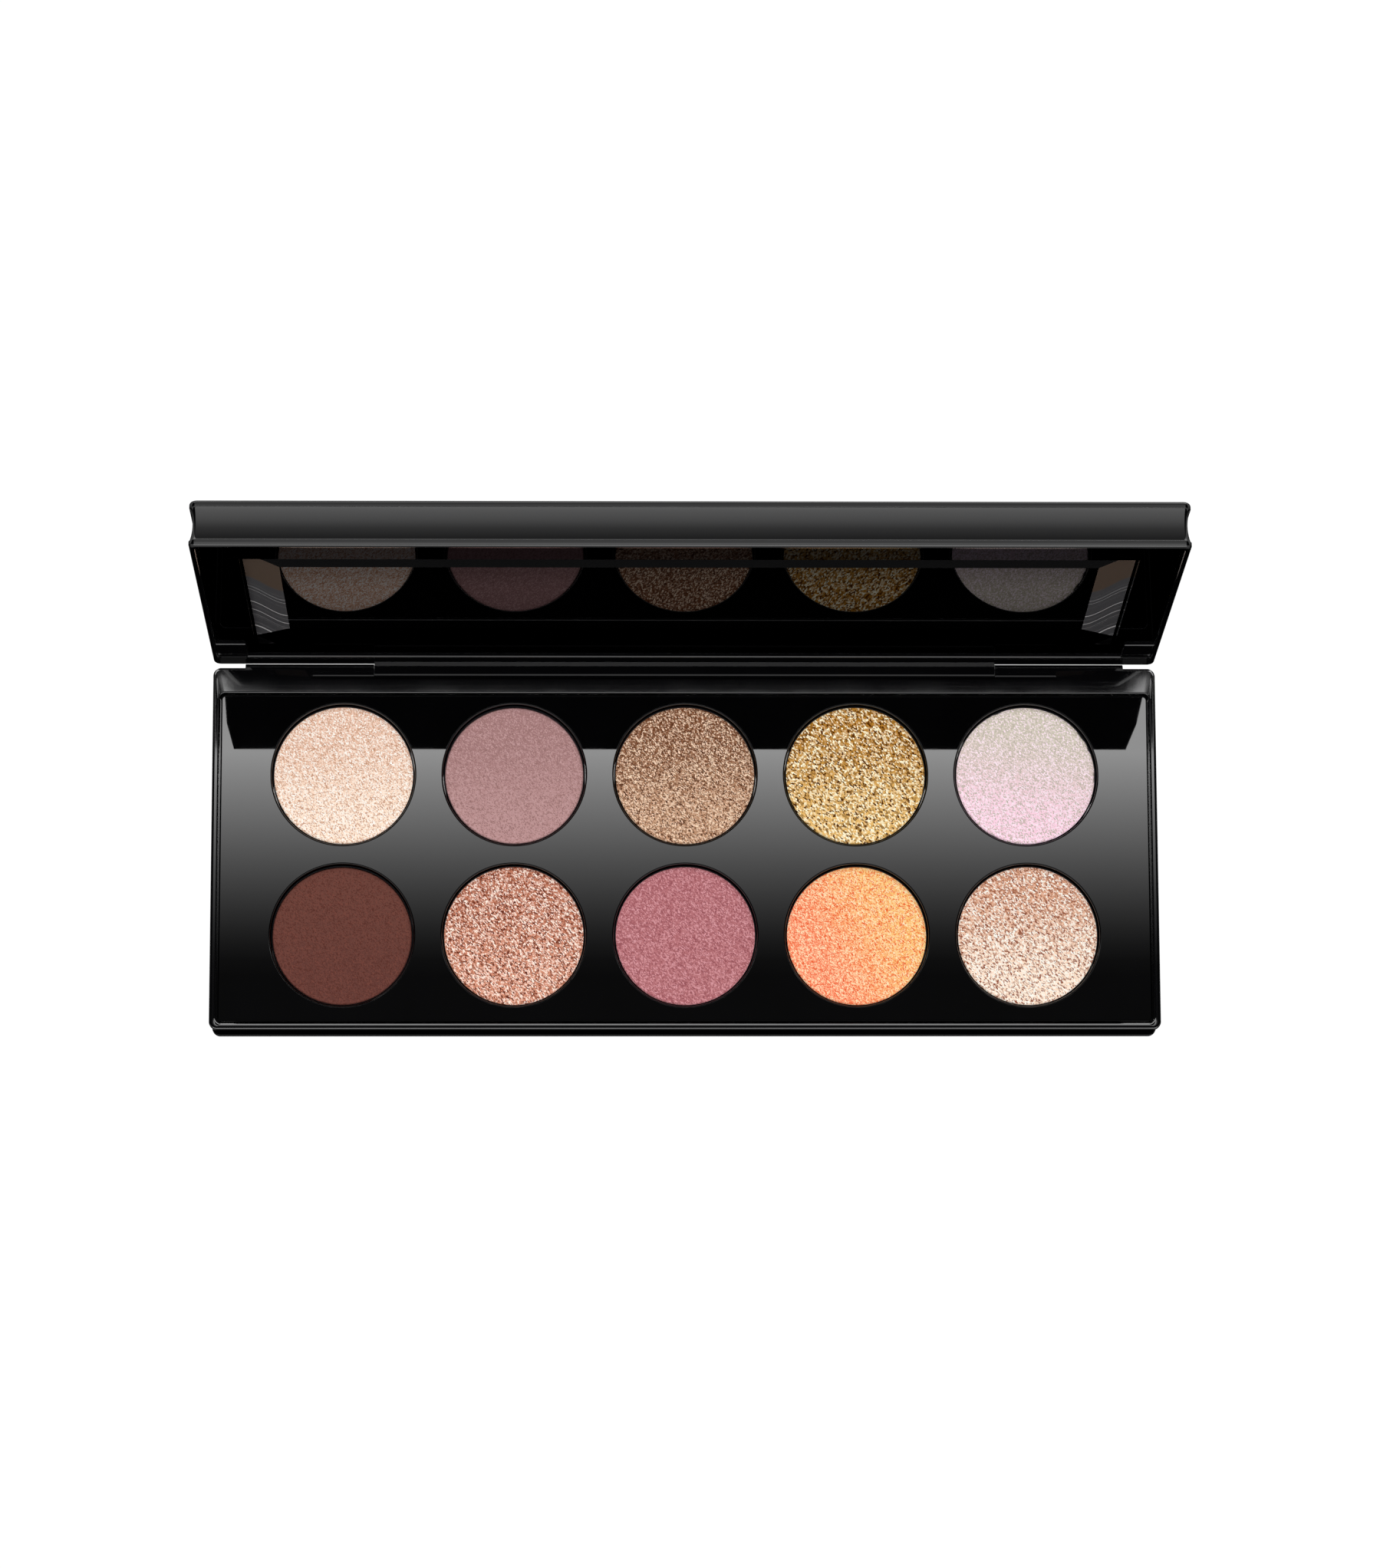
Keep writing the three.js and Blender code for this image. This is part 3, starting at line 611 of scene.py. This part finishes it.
# Each shade's first tone, the tone that it turns to, the way in which it turns, its darkest and brightest
# flakes, a flake's length and width in mm, the face's relief in mm, and roughness. The turn between the two
# tones is painted light, mostly lighter towards the front and darker at the back where the lid shades it; in
# opal and coral it also paints the pearl's colour shift. The darkest and brightest flakes are painted shade
# and painted glints over the powder's own grain. Real flakes are far finer, and are drawn this coarse so
# that they show.
LOOKS = {
    "champagne": ("#ECC4AC", "#FFE6D0", (0.1, -1), "#C59375", "#FFFAF4", (0.23, 0.16), 0.010, 0.6),
    "mauve": ("#A37B7A", "#B88F8E", (0.1, -1), "#96706E", "#BE9897", (0.22, 0.16), 0.003, 0.85),
    "taupe": ("#86563A", "#C29474", (0, -1), "#512A17", "#F3D9BF", (0.25, 0.17), 0.014, 0.55),
    "gold": ("#BC832F", "#EABB6D", (0, -1), "#502402", "#FFF8DA", (0.36, 0.24), 0.030, 0.5),
    "opal": ("#D4CCBA", "#FFD3E6", (-0.15, -1), "#BFB3A6", "#FFEBF5", (0.24, 0.17), 0.006, 0.6),
    "maroon": ("#69423A", "#623C36", (0, -1), "#58312A", "#704239", (0.22, 0.16), 0.003, 0.9),
    "copper": ("#C2785C", "#D99174", (0, -1), "#642414", "#FFEEE2", (0.31, 0.19), 0.028, 0.5),
    "rose": ("#B46F74", "#B57175", (0, -1), "#96545B", "#D5999F", (0.26, 0.17), 0.010, 0.6),
    "coral": ("#FEC878", "#FF9A74", (-1, -0.5), "#F1602F", "#FFE6BE", (0.23, 0.16), 0.010, 0.6),
    "blush": ("#DFA686", "#FFE4CC", (0.05, -1), "#8E4C32", "#FFFCF4", (0.32, 0.2), 0.020, 0.5),
}

for shade, (x, y) in zip(SHADES, PLACES):
    first, second, light_fall_way, dark, bright, (flake, breadth), relief, matt = LOOKS[shade]
    # Pressed powder: pigment in talc and mica, soft and dry, with painted glints on its flakes and painted
    # light across the pan.
    powder, tree = new_tree(f"pressed_powder_{shade}")
    coordinates = add_node(tree, "ShaderNodeTexCoord")
    way = atan2(light_fall_way[1], light_fall_way[0])
    across = add_node(tree, "ShaderNodeMapping", {
        "Vector": coordinates.outputs["Object"], "Location": (x * MM, y * MM, 0),
        "Rotation": (0, 0, way), "Scale": (POWDER_RADIUS * MM,) * 3,
    }, vector_type="TEXTURE")
    parts = add_node(tree, "ShaderNodeSeparateXYZ", {"Vector": across.outputs[0]})
    # Painted light: each cake turns from its first tone to its second across the pan, mostly lighter towards
    # the front and darker at the back, where the lid shades it.
    sweep = add_node(tree, "ShaderNodeMapRange", {
        "Value": parts.outputs["X"], "From Min": -0.75, "From Max": 0.75,
    }, interpolation_type="SMOOTHSTEP")
    painted_light_tone = add_node(tree, "ShaderNodeMix", {
        "Factor": sweep.outputs[0], "A": linear(first), "B": linear(second),
    }, data_type="RGBA")
    laid = add_node(tree, "ShaderNodeMapping", {
        "Vector": coordinates.outputs["Object"], "Location": (x * MM, y * MM, 0),
        "Rotation": (0, 0, FLAKE_TURN), "Scale": (flake * MM, breadth * MM, breadth * MM),
    }, vector_type="TEXTURE")
    flakes = add_node(tree, "ShaderNodeTexVoronoi", {"Vector": laid.outputs[0], "Scale": 1})
    chance = add_node(tree, "ShaderNodeSeparateColor", {"Color": flakes.outputs["Color"]})
    # Painted shade and painted glints: darker and brighter flakes, scattered at random over the powder's own
    # grain.
    painted_shade_flakes = add_node(tree, "ShaderNodeMapRange", {
        "Value": chance.outputs["Red"], "From Min": 0.45, "From Max": 0.05,
    })
    painted_glint_flakes = add_node(tree, "ShaderNodeMapRange", {
        "Value": chance.outputs["Red"], "From Min": 0.55, "From Max": 0.95,
    })
    shaded = add_node(tree, "ShaderNodeMix", {
        "Factor": painted_shade_flakes.outputs[0], "A": painted_light_tone.outputs[2], "B": linear(dark),
    }, data_type="RGBA")
    lit = add_node(tree, "ShaderNodeMix", {
        "Factor": painted_glint_flakes.outputs[0], "A": shaded.outputs[2], "B": linear(bright),
    }, data_type="RGBA")
    pressed = add_node(tree, "ShaderNodeBump", {
        "Height": flakes.outputs["Distance"], "Strength": 0.5, "Distance": relief * MM,
    })
    shader = add_node(tree, "ShaderNodeBsdfPrincipled", {
        "Base Color": lit.outputs[2], "Roughness": matt, "IOR": 1.45, "Specular IOR Level": 0.12,
        "Normal": pressed.outputs[0],
    })
    add_node(tree, "ShaderNodeOutputMaterial", {"Surface": shader.outputs[0]})

    bm = bmesh.new()
    underside = PAN_WALL + 0.03
    shoulder = POWDER_CROWN - POWDER_DOME - POWDER_EDGE
    crown = [
        (POWDER_RADIUS * share, POWDER_CROWN - POWDER_DOME * share**2 - shoulder * share**EDGE_SHARPNESS)
        for share in [i / POWDER_RINGS for i in range(POWDER_RINGS + 1)]
    ]
    turned_ring(bm, [(0, underside), (POWDER_RADIUS, underside), *reversed(crown)], ROUND_COLUMNS)
    bmesh.ops.remove_doubles(bm, verts=bm.verts, dist=1e-4)
    bmesh.ops.recalc_face_normals(bm, faces=bm.faces)
    for v in bm.verts:
        if v.co.z > POWDER_EDGE:
            v.co.z += relief * noise.noise(Vector((v.co.x + x, v.co.y + y, 0)) * RIPPLES) - relief
    bmesh.ops.translate(bm, verts=bm.verts, vec=(x, y, PAN_FOOT))
    cake = assemble(f"cake_{shade}", bm, powder, "base", sharp=60)
    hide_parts(f"powder_{shade}")


# ---- Lid: the upper half of the case, moulded in the same gloss black ABS ----
# It stands open a little past upright. Its barrel turns between the base's knuckles, and two tabs on
# the barrel stop it; solid blocks fill its two rear corners. The barrel is drawn as its own piece.
LID_RIM = 11.25
LID_HEIGHT = 8.6
FRAME_RECESS, FRAME_THICKNESS = 0.5, 3.6
BLOCK_X, BLOCK_Y = 81.3, 21.9
LID_OPENING = radians(96.5)
TAB_TILT, TAB_ROOT, TAB_REACH, TAB_THICKNESS = radians(-20), 0.5, 1.75, 0.7

hinge = Vector((0, HINGE_Y, HINGE_Z))
opened = Matrix.Translation(hinge) @ Matrix.Rotation(-LID_OPENING, 4, "X") @ Matrix.Translation(-hinge)
lid_top = LID_RIM + LID_HEIGHT
bm = case_half(
    lid_top, LID_RIM, LID_RIM + FRAME_RECESS + FRAME_THICKNESS + TRAY_GAP, lid_top - FLOOR_THICKNESS,
    RIDGE_ROUND,
)
tool = bmesh.new()
for side in (-1, 1):
    left, right = sorted((side * BLOCK_X, side * (CASE_WIDTH / 2 - RIM_WIDTH + 0.2)))
    add_block(tool, left, right, BLOCK_Y, SEAT_BACK + 0.2, LID_RIM, lid_top - 1, 0.25)
bm = carve(bm, tool, "UNION")
lid_moulding = assemble("lid_moulding", bm, gloss_abs, "lid", opened)
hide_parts("lid_shell")

bm = bmesh.new()
add_rod(bm, BARREL_RADIUS, -BARREL_HALF, BARREL_HALF)
tool = bmesh.new()
add_block(
    tool, -BARREL_HALF, BARREL_HALF, HINGE_Y - BARREL_RADIUS, CASE_DEPTH / 2 - INSET, HINGE_Z, LID_RIM + 1
)
for side in (-1, 1):
    tab = bmesh.ops.create_cube(tool, size=1)["verts"]
    bmesh.ops.scale(tool, verts=tab, vec=(STOP_WIDTH, TAB_REACH - TAB_ROOT, TAB_THICKNESS))
    bmesh.ops.translate(tool, verts=tab, vec=(side * STOP_X, (TAB_REACH + TAB_ROOT) / 2, 0))
    bmesh.ops.rotate(tool, verts=tab, cent=(0, 0, 0), matrix=Matrix.Rotation(TAB_TILT, 3, "X"))
    bmesh.ops.translate(tool, verts=tab, vec=hinge)
bm = carve(bm, tool, "UNION")
tool = bmesh.new()
for side in (-1, 1):
    add_rod(tool, PIN_BORE, *sorted((side * (PIN_START - 0.5), side * (BARREL_HALF + 1))))
bm = carve(bm, tool, "DIFFERENCE")
hinge_barrel = assemble("hinge_barrel", bm, gloss_abs, "lid", opened)
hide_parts("lid_shell")


# ---- Magnets in the lid: two more nickel-plated discs, behind the mirror's frame ----
# They lie in sockets in the frame's back, over the base's pair when the lid is shut.
for side in ("left", "right"):
    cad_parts[f"lid_magnet_{side}"].data.materials[0] = nickel


# ---- Mirror frame: a gloss black bezel that drops into the lid and holds the glass ----
# It is notched round the lid's corner blocks, and its back has a socket for each magnet.
FRAME_BACK = 28.9
MIRROR_HALF, MIRROR_FRONT, MIRROR_BACK = 79.6, -25.4, 22.7
MIRROR_RECESS, MIRROR_THICKNESS = 0.8, 1.2

# ABS once more, vacuum-metallised under a black lacquer: a dim, smoky shine.
smoked, tree = new_tree("metallised_abs_black_lacquer")
coordinates = add_node(tree, "ShaderNodeTexCoord")
haze = add_node(tree, "ShaderNodeTexNoise", {
    "Vector": coordinates.outputs["Object"], "Scale": 1 / HAZE_SIZE, "Detail": 4,
})
gloss = add_node(tree, "ShaderNodeMapRange", {"Value": haze.outputs["Fac"], "To Min": 0.0, "To Max": 0.02})
tint = add_node(tree, "ShaderNodeMix", {
    "Factor": haze.outputs["Fac"], "A": linear("#29292A"), "B": linear("#2D2D2E"),
}, data_type="RGBA")
shader = add_node(tree, "ShaderNodeBsdfPrincipled", {
    "Base Color": tint.outputs[2], "Metallic": 1.0, "Roughness": gloss.outputs[0],
    "Specular Tint": linear("#B2B2B3"),
})
add_node(tree, "ShaderNodeOutputMaterial", {"Surface": shader.outputs[0]})

face = LID_RIM + FRAME_RECESS
bm = bmesh.new()
edge = TRAY_CORNER - TRAY_EDGE_ROUND - CAP_MARGIN
bezel = turned_ring(bm, [
    (edge, face), (TRAY_CORNER, face), (TRAY_CORNER, face + FRAME_THICKNESS), (edge, face + FRAME_THICKNESS),
])
bezel = round_ring(bm, bezel, TRAY_CORNER, face, TRAY_EDGE_ROUND, 4)
pull_apart(bm, bezel, TRAY_CORNER, -inner, inner, -CASE_DEPTH / 2 + RIM_WIDTH + TRAY_GAP, FRAME_BACK)
for height in (face, face + FRAME_THICKNESS):
    bmesh.ops.edgeloop_fill(bm, edges=loop_at(bm, bezel, height))
bmesh.ops.recalc_face_normals(bm, faces=bm.faces)
tool = bmesh.new()
far = face + FRAME_THICKNESS
for side in (-1, 1):
    left, right = sorted((side * (BLOCK_X - TRAY_GAP), side * CASE_WIDTH / 2))
    add_block(tool, left, right, BLOCK_Y - TRAY_GAP, CASE_DEPTH / 2, 0, far + 1)
    add_post(tool, side * MAGNET_X, MAGNET_Y, MAGNET_RADIUS + 0.2, far - MAGNET_HEIGHT - TRAY_GAP, far + 1)
add_block(
    tool, -MIRROR_HALF, MIRROR_HALF, MIRROR_FRONT, MIRROR_BACK, 0,
    face + MIRROR_RECESS + MIRROR_THICKNESS + 0.8, 0,
)
bm = carve(bm, tool, "DIFFERENCE")
mirror_bezel = assemble("mirror_bezel", bm, smoked, "lid", opened)
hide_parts("mirror_frame")


# ---- Mirror: silvered float glass, ground to a wide bevel along all four edges ----
# It lies in the frame's opening on foam tape.
MIRROR_BEVEL, BEVEL_DROP = 6.4, 0.8

# Silvered float glass: a clear reflection, dimmer than bare silver's, with painted shade that darkens it
# towards the top edge.
PAINTED_DIM_FROM, PAINTED_DIM_TO = 49 * MM, 66 * MM
silvered, tree = new_tree("silvered_float_glass")
coordinates = add_node(tree, "ShaderNodeTexCoord")
film = add_node(tree, "ShaderNodeTexNoise", {
    "Vector": coordinates.outputs["Object"], "Scale": 1 / (30 * MM), "Detail": 3,
})
parts = add_node(tree, "ShaderNodeSeparateXYZ", {"Vector": coordinates.outputs["Object"]})
# Painted shade: the reflection's colour darkens towards the top edge.
painted_dimming = add_node(tree, "ShaderNodeMapRange", {
    "Value": parts.outputs["Z"], "From Min": PAINTED_DIM_FROM, "From Max": PAINTED_DIM_TO,
})
tint = add_node(tree, "ShaderNodeMix", {
    "Factor": painted_dimming.outputs[0], "A": linear("#A9A9AA"), "B": linear("#929293"),
}, data_type="RGBA")
gloss = add_node(tree, "ShaderNodeMapRange", {"Value": film.outputs["Fac"], "To Min": 0.0, "To Max": 0.012})
shader = add_node(tree, "ShaderNodeBsdfPrincipled", {
    "Base Color": tint.outputs[2], "Metallic": 1.0, "Roughness": gloss.outputs[0],
    "Specular Tint": linear("#000000"),
})
add_node(tree, "ShaderNodeOutputMaterial", {"Surface": shader.outputs[0]})

# The end bevels have their reflections painted: brownish near the top for the powders, grey below,
# with bright curved streaks across them.
bevel_painted_reflection, tree = new_tree("glass_bevel_painted_reflection")
STREAKS_TOP = (0, 0, 53.9 * MM)  # where the painted streaks start, at the outer edge
STREAK_DROP = 6.1 * MM  # how far a painted streak falls from the outer edge to the inner one
coordinates = add_node(tree, "ShaderNodeTexCoord")
seen = add_node(tree, "ShaderNodeMapping", {
    "Vector": coordinates.outputs["Object"], "Location": STREAKS_TOP,
}, vector_type="TEXTURE")
parts = add_node(tree, "ShaderNodeSeparateXYZ", {"Vector": seen.outputs[0]})
outwards = add_node(tree, "ShaderNodeMath", {0: parts.outputs["X"]}, operation="ABSOLUTE")
fall = add_node(tree, "ShaderNodeMapRange", {
    "Value": outwards.outputs[0], "From Min": MIRROR_HALF * MM,
    "From Max": (MIRROR_HALF - MIRROR_BEVEL) * MM, "To Max": STREAK_DROP,
}, interpolation_type="SMOOTHSTEP")
level = add_node(tree, "ShaderNodeMath", {0: parts.outputs["Z"], 1: fall.outputs[0]}, operation="ADD")
STREAK_SPACING = 1.5 * MM
count = add_node(tree, "ShaderNodeMath", {0: level.outputs[0], 1: STREAK_SPACING}, operation="DIVIDE")
streaks = add_node(tree, "ShaderNodeTexNoise", {
    "W": count.outputs[0], "Scale": 1, "Detail": 3, "Roughness": 0.7,
}, noise_dimensions="1D")
painted_streaks = add_node(tree, "ShaderNodeMapRange", {
    "Value": streaks.outputs["Fac"], "From Min": 0.58, "From Max": 0.74,
})
below = add_node(tree, "ShaderNodeMapRange", {
    "Value": level.outputs[0], "From Min": 0.2 * MM, "From Max": -0.2 * MM,
})
strength = add_node(tree, "ShaderNodeMath", {
    0: painted_streaks.outputs[0], 1: below.outputs[0],
}, operation="MULTIPLY")
# Painted reflection: brownish above, grey below, then bright streaks mixed into the bevel's colour.
painted_reflection_tone = add_node(tree, "ShaderNodeMix", {
    "Factor": below.outputs[0], "A": linear("#54473D"), "B": linear("#48484A"),
}, data_type="RGBA")
tint = add_node(tree, "ShaderNodeMix", {
    "Factor": strength.outputs[0], "A": painted_reflection_tone.outputs[2], "B": linear("#D2D2D2"),
}, data_type="RGBA")
shader = add_node(tree, "ShaderNodeBsdfPrincipled", {
    "Base Color": tint.outputs[2], "Roughness": 0.3, "IOR": 1.3,
})
add_node(tree, "ShaderNodeOutputMaterial", {"Surface": shader.outputs[0]})

bm = bmesh.new()
glass_face = face + MIRROR_RECESS
glass = bmesh.ops.create_grid(bm, x_segments=1, y_segments=1, size=1)["verts"]
glass_x, glass_y = MIRROR_HALF - TRAY_GAP, (MIRROR_BACK - MIRROR_FRONT) / 2 - TRAY_GAP
bmesh.ops.scale(bm, verts=glass, vec=(glass_x, glass_y, 1))
bmesh.ops.translate(
    bm, verts=glass, vec=(0, (MIRROR_FRONT + MIRROR_BACK) / 2, glass_face + MIRROR_THICKNESS)
)
walls = bmesh.ops.extrude_face_region(bm, geom=bm.faces[:])["geom"]
lower = [v for v in walls if isinstance(v, bmesh.types.BMVert)]
bmesh.ops.translate(bm, verts=lower, vec=(0, 0, BEVEL_DROP - MIRROR_THICKNESS))
ground = [f for f in bm.faces if all(v in lower for v in f.verts)]
bmesh.ops.inset_region(bm, faces=ground, thickness=MIRROR_BEVEL, use_even_offset=True)
bmesh.ops.translate(bm, verts=list({v for f in ground for v in f.verts}), vec=(0, 0, -BEVEL_DROP))
bmesh.ops.recalc_face_normals(bm, faces=bm.faces)
for f in bm.faces:
    if f.normal.z < -0.5 and abs(f.normal.x) > 0.05:
        f.material_index = 1
bevelled_mirror = assemble("bevelled_mirror", bm, silvered, "lid", opened, sharp=1)
bevelled_mirror.data.materials.append(bevel_painted_reflection)
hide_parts("mirror_glass")


# ---- Foam tape: the double-sided pad that holds the glass, hidden behind it ----
# Closed-cell polyethylene foam, white and faintly pitted, with adhesive on both faces.
foam, tree = new_tree("polyethylene_foam_tape")
coordinates = add_node(tree, "ShaderNodeTexCoord")
cells = add_node(tree, "ShaderNodeTexVoronoi", {
    "Vector": coordinates.outputs["Object"], "Scale": 1 / (0.6 * MM),
})
tint = add_node(tree, "ShaderNodeMix", {
    "Factor": cells.outputs["Distance"], "A": linear("#F4F4F0"), "B": linear("#E2E2DC"),
}, data_type="RGBA")
skin = add_node(tree, "ShaderNodeBump", {
    "Height": cells.outputs["Distance"], "Strength": 0.4, "Distance": 0.05 * MM,
})
shader = add_node(tree, "ShaderNodeBsdfPrincipled", {
    "Base Color": tint.outputs[2], "Roughness": 0.8, "Normal": skin.outputs[0],
})
add_node(tree, "ShaderNodeOutputMaterial", {"Surface": shader.outputs[0]})
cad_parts["mirror_tape"].data.materials[0] = foam


# ---- Reflectors: a graded sheet and two graded arcs, flagged so that only some mouldings show them ----
# The sheet over the tray stops short at its far edge, which leaves the dark band along the tray's back.
# It hangs where the camera sees it in the gloss, so from elsewhere the tray shows little or none of it.
def graded_glow(name, centre, stops, by_angle=False):
    """A see-through glow that changes with the distance along Y, or with the angle round the X axis."""
    material, tree = new_tree(name)
    coordinates = add_node(tree, "ShaderNodeTexCoord")
    seen = add_node(tree, "ShaderNodeMapping", {
        "Vector": coordinates.outputs["Object"], "Location": centre,
    }, vector_type="TEXTURE")
    parts = add_node(tree, "ShaderNodeSeparateXYZ", {"Vector": seen.outputs[0]})
    measure = parts.outputs["Y"]
    if by_angle:
        measure = add_node(tree, "ShaderNodeMath", {
            0: parts.outputs["Y"], 1: parts.outputs["Z"],
        }, operation="ARCTAN2").outputs[0]
    (start, _), (end, _) = stops[0], stops[-1]
    along = add_node(tree, "ShaderNodeMapRange", {"Value": measure, "From Min": start, "From Max": end})
    ramp = add_node(tree, "ShaderNodeValToRGB", {"Fac": along.outputs[0]})
    peak = max(value for _, value in stops)
    while len(ramp.color_ramp.elements) < len(stops):
        ramp.color_ramp.elements.new(1)
    for element, (place, value) in zip(ramp.color_ramp.elements, stops):
        element.position = (place - start) / (end - start)
        element.color = [value / peak] * 3 + [1]
    glow = add_node(tree, "ShaderNodeEmission", {"Color": ramp.outputs["Color"], "Strength": peak})
    through = add_node(tree, "ShaderNodeBsdfTransparent")
    both = add_node(tree, "ShaderNodeAddShader", {0: glow.outputs[0], 1: through.outputs[0]})
    add_node(tree, "ShaderNodeOutputMaterial", {"Surface": both.outputs[0]})
    return material


def flag_off(card, *shown_in):
    """Hides a card from everything but the gloss of some pieces."""
    card.visible_camera = False
    card.visible_diffuse = False
    card.visible_shadow = False
    card.light_linking.receiver_collection = bpy.data.collections.new(card.name)
    for piece in shown_in:
        card.light_linking.receiver_collection.objects.link(piece)


SHEET_HEIGHT = 1200
SHEET_NEAR, SHEET_DARK, SHEET_FULL, SHEET_FAR = -31, -24, 18, 30  # behind the middle of the tray
SHEET_DIM, SHEET_RISE = 0.05, 6.2
SHEET_STEPS = 14
SHEET_OUTLINE = (
    (-95, -40), (95, -40), (95, 30.4), (86.6, 30.4), (85.6, 28.5), (84.4, 23.5), (82.3, 18.65), (-84, 18.65),
    (-85.4, 23.6), (-85.8, 28.5), (-86.6, 30.4), (-95, 30.4),
)
eye = Vector(CAMERA_PLACE) / MM - Vector((0, 0, TRAY_TOP))
reach = SHEET_HEIGHT / eye.z
bm = bmesh.new()
bm.faces.new([
    bm.verts.new((
        (x + (x - eye.x) * reach) * MM, (y + (y - eye.y) * reach) * MM, (SHEET_HEIGHT + TRAY_TOP) * MM,
    ))
    for x, y in SHEET_OUTLINE
])
# The light is dim up to one line, rises from there as the square of the distance, and then stays full.
shares = [i / SHEET_STEPS for i in range(SHEET_STEPS + 1)]
grades = [
    (SHEET_NEAR, SHEET_DIM),
    *[(SHEET_DARK + (SHEET_FULL - SHEET_DARK) * t, SHEET_DIM + SHEET_RISE * t**2) for t in shares],
    (SHEET_FAR, SHEET_DIM + SHEET_RISE),
]
over_tray = graded_glow(
    "graded_sheet_over_tray", (0, 0, 0),
    [((y + (y - eye.y) * reach) * MM, value) for y, value in grades],
)
flag_off(place_on_set("tray_reflector", bm, over_tray), tray_moulding, base_moulding)

ARC_RADIUS, ARC_HALF = 0.8, 0.7


def hang_arc(name, centre, grades, *shown_in):
    """An arc round the hinge's direction, graded by degrees from straight up towards the back."""
    first, last = (radians(grades[i][0]) for i in (0, -1))
    bm = bmesh.new()
    rail = [
        bm.verts.new((
            side * ARC_HALF, centre[1] + ARC_RADIUS * sin(first), centre[2] + ARC_RADIUS * cos(first),
        ))
        for side in (-1, 1)
    ]
    bmesh.ops.spin(
        bm, geom=rail + [bm.edges.new(rail)], cent=centre, axis=(1, 0, 0), angle=first - last, steps=48
    )
    glow = graded_glow(
        f"graded_{name}", centre, [(radians(degrees), value) for degrees, value in grades], by_angle=True
    )
    flag_off(place_on_set(name, bm, glow), *shown_in)


hang_arc(
    "lid_reflector", (0, 0.04, 0.075),
    (
        (-64, 0), (-61, 6), (-50, 6), (-46, 0), (-34, 0), (-18, 2.4), (-8, 2.1), (0, 1.8), (17, 1.3),
        (35, 0.62), (55, 0.30), (62, 0.22), (66, 2), (90, 2),
    ),
    lid_moulding,
)
hang_arc(
    "base_reflector", (0, 0, 0.01),
    (
        (-65, 0), (-62, 7), (-49, 7), (-46, 0), (14, 0), (20, 8), (46, 8), (50, 0), (61, 0), (66, 10),
        (90, 10),
    ),
    base_moulding,
)
